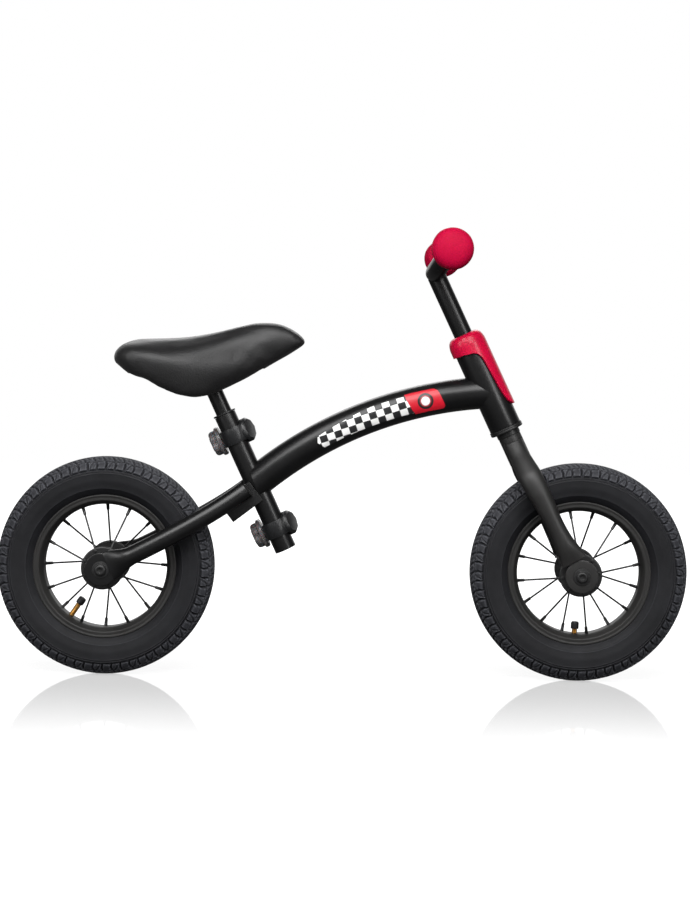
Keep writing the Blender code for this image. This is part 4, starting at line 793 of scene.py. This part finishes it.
def build_rear_stays():
    front = SEAT_CROSSING - Vector((0.009, 0, 0.0056))
    reach = (front - REAR_HUB).length
    front_slope, rear_slope = math.radians(39), math.radians(24.5)
    front_along = Vector((-math.cos(front_slope), 0, -math.sin(front_slope)))
    rear_along = Vector((math.cos(rear_slope), 0, math.sin(rear_slope)))
    route = (front, front + front_along * reach * 0.24, REAR_HUB + rear_along * reach * 0.32, REAR_HUB)
    for name, side in SIDES:
        centres, depths, widths = [], [], []
        for step in range(41):
            amount = step / 40
            across = blend(0.023, DROPOUT_SIDE, math.sin(math.pi / 2 * amount))
            flat = ease((amount - 0.79) / 0.16)
            depths.append(blend(0.0107, 0.0176, flat))
            widths.append(blend(0.0107, 0.0046, ease((amount - 0.82) / 0.12)))
            across = blend(across, DROPOUT_SIDE, flat)
            centres.append(bezier(route, amount) + Vector((0, side * across, 0)))
        stay = lofted(oval_sections(centres, depths, widths, 96)[:91])
        sliced(stay, SEAT_CROSSING - SEAT_FORWARD * GAP, clear_outer=True)
        disc = moved(dropout_disc(-side), wheel_matrix("rear"))
        piece("rear_stay_" + name, joined([stay, disc], math.radians(50)), "gloss_black_paint", "frame")


# ---- frame tubes ----
ARC_RADIUS = 0.4624
TUBE_RADIUS = 0.019


def main_tube_arc():
    start = SEAT_CROSSING
    end = STEER_ORIGIN + STEER_UP * (HEAD_LOW + 0.0446)
    chord = end - start
    half = chord.length / 2
    drop = math.sqrt(ARC_RADIUS ** 2 - half ** 2)
    centre = start + chord / 2 + Vector((chord.z, 0, -chord.x)).normalized() * drop
    first = math.atan2(start.z - centre.z, start.x - centre.x)
    last = math.atan2(end.z - centre.z, end.x - centre.x)
    return centre, first, last


ARC_CENTRE, ARC_FIRST, ARC_LAST = main_tube_arc()


def decal_material():
    """The frame paint with a checkered band, a red panel and a plain ring printed on both sides."""
    g = painted("frame_decal", *GLOSS_PAINT)
    paint = g.shader.inputs["Base Color"].links[0].from_socket
    ring = Vector((0.0975, 0.3160))
    tilt = math.radians(19)
    cell_length, cell_height = 0.0090, 0.0081
    world = g.parts()
    x = g.minus(world[0], ARC_CENTRE.x)
    z = g.minus(world[2], ARC_CENTRE.z)
    side = g.between(g.size(world[1]), 0.0095, 0.0100)
    ring_angle = math.atan2(ring.y - ARC_CENTRE.z, ring.x - ARC_CENTRE.x)
    along = g.times(g.minus(ring_angle, g.maths("ARCTAN2", z, x)), ARC_RADIUS)
    height = g.minus(g.length(x, z), ARC_RADIUS)
    slanted = g.plus(along, g.times(height, 0.30))

    def inside(value, limit, soft=0.00015):
        return g.between(value, limit + soft, limit - soft)

    def panel(centre, half_length, radius):
        """Inside a rounded box in slanted coordinates."""
        dx = g.maths("MAXIMUM", g.minus(g.size(g.minus(slanted, centre)), half_length - radius), 0.0)
        dy = g.maths("MAXIMUM", g.minus(g.size(height), 0.0126 - radius), 0.0)
        return inside(g.length(dx, dy), radius)

    panels = g.maths("MAXIMUM", panel(0.0, 0.0196, 0.0058), panel(-0.0080, 0.0110, 0.0006))
    u = g.plus(g.times(world[0], math.cos(tilt)), g.times(world[2], math.sin(tilt)))
    v = g.minus(g.times(world[2], math.cos(tilt)), g.times(world[0], math.sin(tilt)))
    cell = ring - Vector((0.0271, 0.0025))
    u0 = cell.x * math.cos(tilt) + cell.y * math.sin(tilt)
    v0 = cell.y * math.cos(tilt) - cell.x * math.sin(tilt)
    columns = g.maths("FLOOR", g.plus(g.maths("DIVIDE", g.minus(u, u0), cell_length), 0.5))
    rows = g.maths("FLOOR", g.plus(g.maths("DIVIDE", g.minus(v, v0), cell_height), 0.5))
    white = g.minus(1.0, g.maths("FLOORED_MODULO", g.plus(columns, rows), 2.0))
    top = g.maths("MINIMUM", g.plus(g.times(g.plus(along, 0.136), 0.09), 0.0042), 0.0107)
    band = g.times(g.between(g.minus(top, height), -0.0001, 0.0001), g.between(height, -0.0108, -0.0106))
    tip = g.plus(along, g.times(g.size(g.plus(height, 0.0022)), -0.55))
    band = g.times(band, g.between(tip, -0.1364, -0.1361))
    band = g.times(band, g.between(slanted, -0.0188, -0.0190))
    grain = g.noise(240.0, 4.0, 0.6)
    white_ink = g.mix(grain, (0.74, 0.74, 0.73), (0.83, 0.83, 0.82))
    black_ink = g.mix(grain, (0.012, 0.012, 0.013), (0.018, 0.018, 0.019))
    red_ink = g.mix(grain, (0.50, 0.0060, 0.018), (0.58, 0.0090, 0.025))
    maroon = g.mix(grain, (0.26, 0.020, 0.024), (0.33, 0.035, 0.040))
    result = g.mix(g.times(band, side), paint, g.mix(white, black_ink, white_ink))
    result = g.mix(g.times(panels, side), result, red_ink)
    out = g.length(along, height)
    for limit, soft, ink in (
            (0.0094, 0.0002, black_ink), (0.0068, 0.0002, maroon), (0.0052, 0.0005, white_ink)):
        result = g.mix(g.times(inside(out, limit, soft), side), result, ink)
    g.colour(result)
    return g


def build_main_tube():
    lead = 0.02 / ARC_RADIUS
    points = []
    for step in range(97):
        angle = blend(ARC_FIRST + lead, ARC_LAST, step / 96)
        points.append(ARC_CENTRE + Vector((ARC_RADIUS * math.cos(angle), 0, ARC_RADIUS * math.sin(angle))))
    edit = sliced(tube(points, [TUBE_RADIUS] * len(points), 64), SEAT_CROSSING, clear_inner=True)
    piece("main_tube", finish_mesh(edit), "gloss_black_paint", "frame", graph=decal_material())


STEERER_RADIUS, CROWN_RADIUS, STEERER_BORE = 0.0127, 0.0134, 0.0114
CROWN_TOP = 0.1795


def build_head():
    low = HEAD_LOW
    turned_piece("head_tube", ring_section(0.019, 0.017, low, HEAD_HIGH), "gloss_black_paint", "frame",
                 STEER, 72)
    cup = [
        (0.0150, low - 0.0055), (0.0192, low - 0.0055), (0.0200, low - 0.0047), (0.0200, low - 0.0030),
        (0.0196, low - 0.0026), (0.0200, low - 0.0022), (0.0200, low - 0.0003), (0.0167, low - 0.0003),
        (0.0167, low + 0.012), (0.0150, low + 0.012)]
    turned_piece("lower_headset_cup", cup, "black_steel", "frame", STEER, 72)
    steerer = [
        (STEERER_BORE, 0.3035), (STEERER_RADIUS, 0.3035), (STEERER_RADIUS, CROWN_TOP),
        (CROWN_RADIUS, CROWN_TOP), (CROWN_RADIUS, CROWN_LOW), (STEERER_BORE, CROWN_LOW)]
    turned_piece("fork_steerer", steerer, "matte_dark_grey_paint", "steering", STEER, radius=0.0005)
    race = [(0.0130, 0.1798), (0.0140, 0.1798), (0.0140, 0.1840), (0.0136, 0.1867), (0.0130, 0.1867)]
    turned_piece("crown_race", race, "black_steel", "steering", STEER)


COVER_TOP = 0.3105
COVER_OUTER = 0.0222
COVER_ROWS = 22
COVER_EDGE = (
    (-0.0400, -0.0212), (-0.0100, -0.0222), (0.0020, -0.0246), (0.0060, -0.0272), (0.0082, -0.0312),
    (0.0095, -0.0360), (0.0105, -0.0450), (0.0118, -0.0600), (0.0132, -0.0750), (0.0148, -0.0850),
    (0.0170, -0.0920), (0.0200, -0.0966), (0.0223, -0.0980))
COVER_SHOULDER = (
    (0.0121, 0.0), (0.0142, -0.0001), (0.0162, -0.0007), (0.0180, -0.0018), (0.0195, -0.0035),
    (0.0206, -0.0057), (0.0214, -0.0084), (0.0220, -0.0112), (COVER_OUTER, -0.0138))


def cover_bottom(forward):
    for (x0, z0), (x1, z1) in zip(COVER_EDGE, COVER_EDGE[1:]):
        if forward <= x1:
            return COVER_TOP + blend(z0, z1, (forward - x0) / (x1 - x0))
    return COVER_TOP + COVER_EDGE[-1][1]


def build_head_cover():
    """A collar round the head tube's top whose front runs down as a pointed shield."""
    edit = bmesh.new()
    columns = []
    start = COVER_TOP + COVER_SHOULDER[-1][1]
    for angle in circle(128):
        bottom = cover_bottom(COVER_OUTER * math.cos(angle))
        column = [(radius, COVER_TOP + drop) for radius, drop in COVER_SHOULDER]
        column += [(COVER_OUTER, blend(start, bottom, (row + 1) / COVER_ROWS)) for row in range(COVER_ROWS)]
        columns.append([edit.verts.new(polar(radius, angle, height)) for radius, height in column])
    for here, after in zip(columns, columns[1:] + columns[:1]):
        for index in range(len(here) - 1):
            edit.faces.new((here[index], here[index + 1], after[index + 1], after[index]))
    mesh = finish_mesh(edit, math.radians(60))
    item = piece("head_tube_cover", mesh, "crimson_plastic", "frame", STEER)
    shell = item.modifiers.new("Wall", "SOLIDIFY")
    shell.thickness = 0.0026
    shell.offset = -1
    bevelled(item, 0.0007, math.radians(45))


# ---- handlebar ----
STEM_TOP = 0.3905
BAR_SWEEP = 0.0225
BAR_RISE = 0.0142
BAR_RADIUS = 0.011
BAR_HALF = 0.195


def build_handlebar():
    bend = ((0.0, 0.0), (0.018, 0.04), (0.036, 0.26), (0.052, 0.64), (0.066, 0.93), (0.078, 1.0),
            (0.130, 1.0), (0.1885, 1.0))
    half = [Vector((BAR_SWEEP * part, side, STEM_TOP + BAR_RISE * part)) for side, part in bend]
    stations = [Vector((p.x, -p.y, p.z)) for p in reversed(half[1:])] + half
    points = [spline(stations, step / 120) for step in range(121)]
    bar = finish_mesh(tube(points, [BAR_RADIUS] * len(points), 40))
    piece("handlebar", bar, "gloss_black_paint", "steering", STEER)
    stem = [(0.009, 0.2335), (0.011, 0.2335), (0.011, STEM_TOP - 0.004), (0.009, STEM_TOP - 0.004)]
    turned_piece("handlebar_stem", stem, "gloss_black_paint", "steering", STEER)
    for name, side in SIDES:
        build_grip(name, side)


def build_grip(name, side):
    """A ribbed rubber grip between a thumb flange and a soft end bulb."""
    end, inner = BAR_HALF, 0.090
    bulb = end - 0.026
    outline = [
        (0.0113, inner), (0.0175, inner), (0.0194, inner + 0.0004), (0.0200, inner + 0.0013),
        (0.0198, inner + 0.0026), (0.0185, inner + 0.0042), (0.0160, inner + 0.0062),
        (0.0150, inner + 0.0078)]
    rib = inner + 0.012
    while rib < bulb - 0.008:
        outline += [(0.0147, rib), (0.0147, rib + 0.0012), (0.0153, rib + 0.0018), (0.0153, rib + 0.0040),
                    (0.0147, rib + 0.0046)]
        rib += 0.0062
    outline += [
        (0.0150, bulb - 0.003), (0.0158, bulb), (0.0180, bulb + 0.0030), (0.0209, bulb + 0.0062),
        (0.0226, bulb + 0.0095), (0.0232, end - 0.0130), (0.0228, end - 0.0100), (0.0214, end - 0.0068),
        (0.0186, end - 0.0040), (0.0144, end - 0.0020), (0.0090, end - 0.0008), (0.0040, end - 0.0002),
        (0.0, end)]
    edit = turned(outline, 96, False)
    for vertex in edit.verts:
        if math.hypot(vertex.co.x, vertex.co.y) > 0.0145:
            turn = math.atan2(vertex.co.y, vertex.co.x)
            scale_reach(vertex, 1 + 0.010 * noise.noise(polar(2.2, turn, vertex.co.z * 60)))
    flip = Matrix.Rotation(-side * math.pi / 2, 4, "X")
    place = STEER @ Matrix.Translation((BAR_SWEEP, 0, STEM_TOP + BAR_RISE)) @ flip
    piece("grip_" + name, finish_mesh(edit, math.radians(60)), "crimson_rubber", "steering", place)


# ---- seat tube, clamps and saddle ----
def build_seat_tube():
    turned_piece("seat_tube", ring_section(0.0127, 0.0114, -0.0863, 0.0880), "gloss_black_paint", "frame",
                 SEAT)
    bush = [(0.0098, 0.0903), (0.0130, 0.0903), (0.0136, 0.0898), (0.0136, 0.0883), (0.0111, 0.0883),
            (0.0111, 0.053), (0.0098, 0.053)]
    turned_piece("seat_tube_bush", bush, "black_plastic", "frame", SEAT, radius=0.0003)
    post = ring_section(0.0095, 0.0080, -0.022, 0.155)
    turned_piece("seat_post", post, "gloss_black_paint", "seat", SEAT, radius=0.0003)


CLAMP_HEIGHTS = (("upper", 0.0608), ("lower", -0.0591))
KNOB_BACK, KNOB_SIDE = -0.0157, 0.0179
KNOB_LOBES = 6
KNOB_PROFILE = (
    (0.0150, 0.0, 0.0), (0.0168, 0.0, 0.0003), (0.0175, 0.0, 0.0014), (0.0175, 0.0, 0.0044),
    (0.0168, 0.0, 0.0056), (0.0156, 0.0012, 0.0060), (0.0150, 0.0022, 0.0066), (0.0150, 0.0024, 0.0100),
    (0.0146, 0.0024, 0.0120), (0.0134, 0.0024, 0.0135), (0.0118, 0.0022, 0.0142),
    (0.0090, 0.0010, 0.0142), (0.0080, 0.0, 0.0136), (0.0040, 0.0, 0.0134))


def build_knob(prefix, height):
    """A lobed hand knob on a round flange, its lobes rounded over at the end."""
    sections = []
    for radius, lobe, up in KNOB_PROFILE:
        waves = [(angle, ((1 - math.cos(KNOB_LOBES * angle)) / 2) ** 1.6) for angle in circle(96)]
        sections.append([polar(radius - lobe * wave, angle, up) for angle, wave in waves])
    place = SEAT @ Matrix.Translation((KNOB_BACK, KNOB_SIDE, height)) @ Matrix.Rotation(-math.pi / 2, 4, "Y")
    mesh = finish_mesh(lofted(sections), math.radians(50))
    piece(prefix + "_clamp_knob", mesh, "grey_knob_plastic", prefix + "_knob", place)


# Each station: forward place, crown height, skirt height, share of the half width.
SADDLE_STATIONS = (
    (-0.1690, 0.1475, 0.1432, 0.42), (-0.1670, 0.1550, 0.1395, 0.62), (-0.1600, 0.1625, 0.1350, 0.80),
    (-0.1475, 0.1668, 0.1262, 0.93), (-0.1265, 0.1680, 0.1170, 1.00), (-0.1045, 0.1688, 0.1070, 1.00),
    (-0.0815, 0.1706, 0.0997, 0.94), (-0.0615, 0.1738, 0.0997, 0.83), (-0.0415, 0.1782, 0.1070, 0.69),
    (-0.0165, 0.1848, 0.1200, 0.53), (0.0079, 0.1898, 0.1350, 0.42), (0.0265, 0.1896, 0.1460, 0.365),
    (0.0430, 0.1832, 0.1550, 0.31), (0.0540, 0.1752, 0.1605, 0.245), (0.0600, 0.1690, 0.1640, 0.14))
# Half of a cross-section: share of the half width, share of the height from skirt to crown.
SADDLE_SECTION = (
    (0.0, 1.0), (0.20, 0.997), (0.38, 0.985), (0.54, 0.963), (0.68, 0.93), (0.80, 0.875), (0.90, 0.80),
    (0.965, 0.705), (1.0, 0.60), (1.0, 0.48), (0.985, 0.38), (0.96, 0.27), (0.93, 0.16), (0.89, 0.06),
    (0.84, 0.02), (0.60, 0.0))
SADDLE_RINGS = 72
SADDLE_INSET = 0.0022
SADDLE_HALF_WIDTH = 0.064
BASE_SIDE_DEPTH = 0.0138
BASE_TOP_DEPTH = 0.0168
SOFT_CAP = 0.002
CLOTH_FRAMES = 20


def saddle_ring(x, half, low, top):
    right = [Vector((x, half * g, low + (top - low) * f)) for g, f in SADDLE_SECTION]
    return right + [Vector((x, -point.y, point.z)) for point in reversed(right[1:])]


def saddle_solid(name, rings):
    """A closed loft of saddle rings as an object in the row frame."""
    edit = lofted(rings)
    bmesh.ops.triangulate(edit, faces=[f for f in edit.faces if len(f.verts) > 4])
    mesh = finish_mesh(edit)
    mesh.transform(Matrix.Translation(SEAT_CROSSING))
    item = bpy.data.objects.new(name, mesh)
    PIECES.objects.link(item)
    return item


def saddle_pad():
    """The pad, drawn in a little to leave room for its skin to swell."""
    rings = []
    for step in range(SADDLE_RINGS):
        t = step / (SADDLE_RINGS - 1)
        x, crown, skirt, share = (spline([row[k] for row in SADDLE_STATIONS], t) for k in range(4))
        half = max(SADDLE_HALF_WIDTH * share - SADDLE_INSET, 0.004)
        x += SADDLE_INSET * (1 - 2 * t)
        rings.append(saddle_ring(x, half, skirt + SADDLE_INSET * 0.3, crown - SADDLE_INSET))
    return saddle_solid("saddle_pad_look", rings)


def hollow_under(item):
    """Cut the space for the saddle's base out of the pad's underside."""
    tool = saddle_solid("saddle_hollow", [
        saddle_ring(x, SADDLE_HALF_WIDTH * share - BASE_SIDE_DEPTH, skirt - 0.03, crown - BASE_TOP_DEPTH)
        for x, crown, skirt, share in SADDLE_STATIONS[3:11]])
    cut = item.modifiers.new("Hollow", "BOOLEAN")
    cut.operation = "DIFFERENCE"
    cut.solver = "EXACT"
    cut.object = tool
    apply_modifiers(item)
    bpy.data.objects.remove(tool)

def softened(item, name, iterations):
    step = item.modifiers.new(name, "SMOOTH")
    step.factor = 0.5
    step.iterations = iterations


def build_saddle():
    item = saddle_pad()
    skin = item.modifiers.new("Skin", "REMESH")
    skin.mode = "VOXEL"
    skin.voxel_size = 0.004
    softened(item, "Soften", 6)
    apply_modifiers(item)
    swell(item)
    softened(item, "Relax", 4)
    finer = item.modifiers.new("Finer", "SUBSURF")
    finer.levels = finer.render_levels = 1
    apply_modifiers(item)
    hollow_under(item)
    for polygon in item.data.polygons:
        polygon.use_smooth = True
    item.data.materials.clear()
    item.data.materials.append(SADDLE.material)
    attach(item, "seat")
    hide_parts("saddle_pad")


def apply_modifiers(item):
    bpy.context.view_layer.update()
    depsgraph = bpy.context.evaluated_depsgraph_get()
    fresh = bpy.data.meshes.new_from_object(item.evaluated_get(depsgraph))
    old = item.data
    item.modifiers.clear()
    item.data = fresh
    bpy.data.meshes.remove(old)


def swell(item):
    """Blow the skin up like a stuffed pad and keep a capped part of the movement."""
    before = [vertex.co.copy() for vertex in item.data.vertices]
    cloth = item.modifiers.new("Skin pressure", "CLOTH")
    cloth.settings.use_pressure = True
    cloth.settings.uniform_pressure_force = 4.0
    cloth.settings.effector_weights.gravity = 0
    cloth.settings.quality = 5
    cloth.point_cache.frame_start = 1
    cloth.point_cache.frame_end = 20
    cloth.point_cache.frame_end = CLOTH_FRAMES
    scene = bpy.context.scene
    for number in range(1, CLOTH_FRAMES + 1):
        scene.frame_set(number)
    depsgraph = bpy.context.evaluated_depsgraph_get()
    blown = [vertex.co.copy() for vertex in item.evaluated_get(depsgraph).data.vertices]
    item.modifiers.remove(cloth)
    scene.frame_set(1)
    for vertex, start, end in zip(item.data.vertices, before, blown):
        step = end - start
        if step.length > SOFT_CAP:
            step *= SOFT_CAP / step.length
        vertex.co = start + step


# ---- assembly ----
def dress_cad_nodes():
    """Better materials for the CAD nodes whose own shape shows."""
    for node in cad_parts.values():
        for slot in node.material_slots:
            base = slot.material.name.split(".")[0] if slot.material else ""
            if base in LOOKS:
                slot.material = LOOKS[base].material


def build_pieces():
    for prefix, body in (("front", "steering"), ("rear", "frame")):
        build_tyre(prefix)
        build_rim(prefix)
        build_hub(prefix)
        build_valve(prefix)
        build_axle_bolts(prefix, body)
    for prefix, first_spoke in (("front", 8.5), ("rear", 22.5)):
        start = math.radians(first_spoke)
        build_spokes(prefix, "right", 1, start)
        build_spokes(prefix, "left", -1, start + math.pi / SPOKES_PER_SIDE)
    build_fork_blades()
    build_rear_stays()
    build_main_tube()
    build_head()
    build_head_cover()
    build_handlebar()
    build_seat_tube()
    for prefix, height in CLAMP_HEIGHTS:
        refined(prefix + "_clamp_collar", 0.0009, "black_plastic", "frame")
        build_knob(prefix, height)
    refined("stay_yoke", 0.0012, "gloss_black_paint", "frame")
    build_saddle()


# ---- stage, light and camera ----
WORLD_DIM = 0.08
CARD_STRENGTH = 0.18


def build_stage():
    """A glossy pale floor that glows, less near the object as painted shade round it, and fades out far from
    the object.
    """
    mesh = finish_mesh(turned([(0, 0), (0.6, 0), (1.4, 0), (2.4, 0), (4.0, 0)], 96, False))
    floor = bpy.data.objects.new("floor", mesh)
    bpy.context.scene.collection.objects.link(floor)
    g = Graph("pale_floor")
    cloud = g.noise(3.0, 4.0, 0.6)
    g.colour(g.mix(cloud, (0.20, 0.20, 0.20), (0.22, 0.22, 0.22)))
    g.set(Roughness=g.spread(g.noise(8.0, 4.0, 0.6), 0.03, 0.06))
    x, y, _ = g.parts()
    # Painted shade: the floor glows less near the object's footprint and more away from it.
    past_end = g.maths("MAXIMUM", g.minus(g.size(x), 0.35), 0.0)
    away = g.between(g.length(past_end, y), 0.05, 0.50)
    g.set(Specular_IOR_Level=0.4, Emission_Color=(1, 1, 1, 1))
    g.set(Emission_Strength=g.plus(g.times(away, 0.40), 0.52))
    length = g.add("ShaderNodeVectorMath", operation="LENGTH")
    g.plug(length.inputs[0], g.place)
    fade = g.between(length.outputs["Value"], 3.6, 1.6)
    g.set(Alpha=fade)
    mesh.materials.append(g.material)
    floor.visible_glossy = False
    floor.visible_diffuse = False


def area_light(name, place, target, size, power):
    data = bpy.data.lights.new(name, "AREA")
    data.shape = "RECTANGLE"
    data.size, data.size_y = size
    data.energy = power
    light = bpy.data.objects.new(name, data)
    bpy.context.scene.collection.objects.link(light)
    light.location = place
    light.rotation_mode = "QUATERNION"
    light.rotation_quaternion = (Vector(target) - Vector(place)).to_track_quat("-Z", "Y")
    return light


def build_light():
    """White for the camera; for the object a bright low band behind, a weak card in front, dim elsewhere."""
    world = bpy.data.worlds.new("studio")
    bpy.context.scene.world = world
    world.use_nodes = True
    tree = world.node_tree
    background = tree.nodes["Background"]
    background.inputs["Color"].default_value = (1, 1, 1, 1)
    path = tree.nodes.new("ShaderNodeLightPath")
    coordinates = tree.nodes.new("ShaderNodeTexCoord")
    split = tree.nodes.new("ShaderNodeSeparateXYZ")
    tree.links.new(coordinates.outputs["Generated"], split.inputs[0])

    def ramp(socket, low, high, start, end):
        node = tree.nodes.new("ShaderNodeMapRange")
        tree.links.new(socket, node.inputs[0])
        for index, value in enumerate((low, high, start, end)):
            node.inputs[index + 1].default_value = value
        return node.outputs[0]

    def combined(operation, a, b):
        node = tree.nodes.new("ShaderNodeMath")
        node.operation = operation
        tree.links.new(a, node.inputs[0])
        tree.links.new(b, node.inputs[1])
        return node.outputs[0]

    def product(a, b):
        return combined("MULTIPLY", a, b)

    _, deep, up = split.outputs
    behind = product(ramp(deep, 0.55, 0.85, 0, 1), ramp(up, 0.62, 0.42, 0, 1))
    above = ramp(up, -0.02, 0.02, 0, 1)
    dim = ramp(product(behind, above), 0, 1, WORLD_DIM, 1.0)
    level = product(ramp(up, -0.60, -0.25, 0, 1), ramp(up, 0.50, 0.15, 0, 1))
    front_card = product(ramp(deep, -0.35, -0.75, 0, CARD_STRENGTH), level)
    choose = tree.nodes.new("ShaderNodeMix")
    tree.links.new(path.outputs["Is Camera Ray"], choose.inputs[0])
    tree.links.new(combined("ADD", dim, front_card), choose.inputs[2])
    choose.inputs[3].default_value = 1.0
    tree.links.new(choose.outputs[0], background.inputs["Strength"])
    area_light("top_softbox", (-0.1, -1.45, 1.70), (0.0, 0.0, 0.25), (2.2, 1.2), 52)
    area_light("left_softbox", (-1.7, -1.3, 0.8), (0.0, 0.0, 0.25), (0.6, 1.0), 9)
    area_light("right_softbox", (1.5, -1.6, 0.9), (0.0, 0.0, 0.25), (0.5, 1.1), 12)
    area_light("back_softbox", (0.1, 1.8, 1.5), (0.0, 0.0, 0.2), (1.8, 0.8), 14)
    fill = area_light("front_fill", (0.0, -2.6, 1.3), (0.0, 0.0, 0.25), (2.4, 1.6), 38)
    fill.visible_glossy = False


def build_camera():
    data = bpy.data.cameras.new("camera")
    data.sensor_width = 36.0
    data.lens = 79.6696
    data.shift_x, data.shift_y = -0.0380435, -0.1521739
    data.clip_start, data.clip_end = 0.05, 50
    camera = bpy.data.objects.new("camera", data)
    bpy.context.scene.collection.objects.link(camera)
    camera.location = (0.0402, -2.4, 0.4212)
    roll = Matrix.Rotation(math.radians(0.876), 3, "Z")
    camera.rotation_euler = (Matrix.Rotation(math.pi / 2, 3, "X") @ roll).to_euler()
    bpy.context.scene.camera = camera


build_pieces()
dress_cad_nodes()
build_stage()
build_light()
build_camera()
bpy.context.scene.view_settings.view_transform = "Standard"
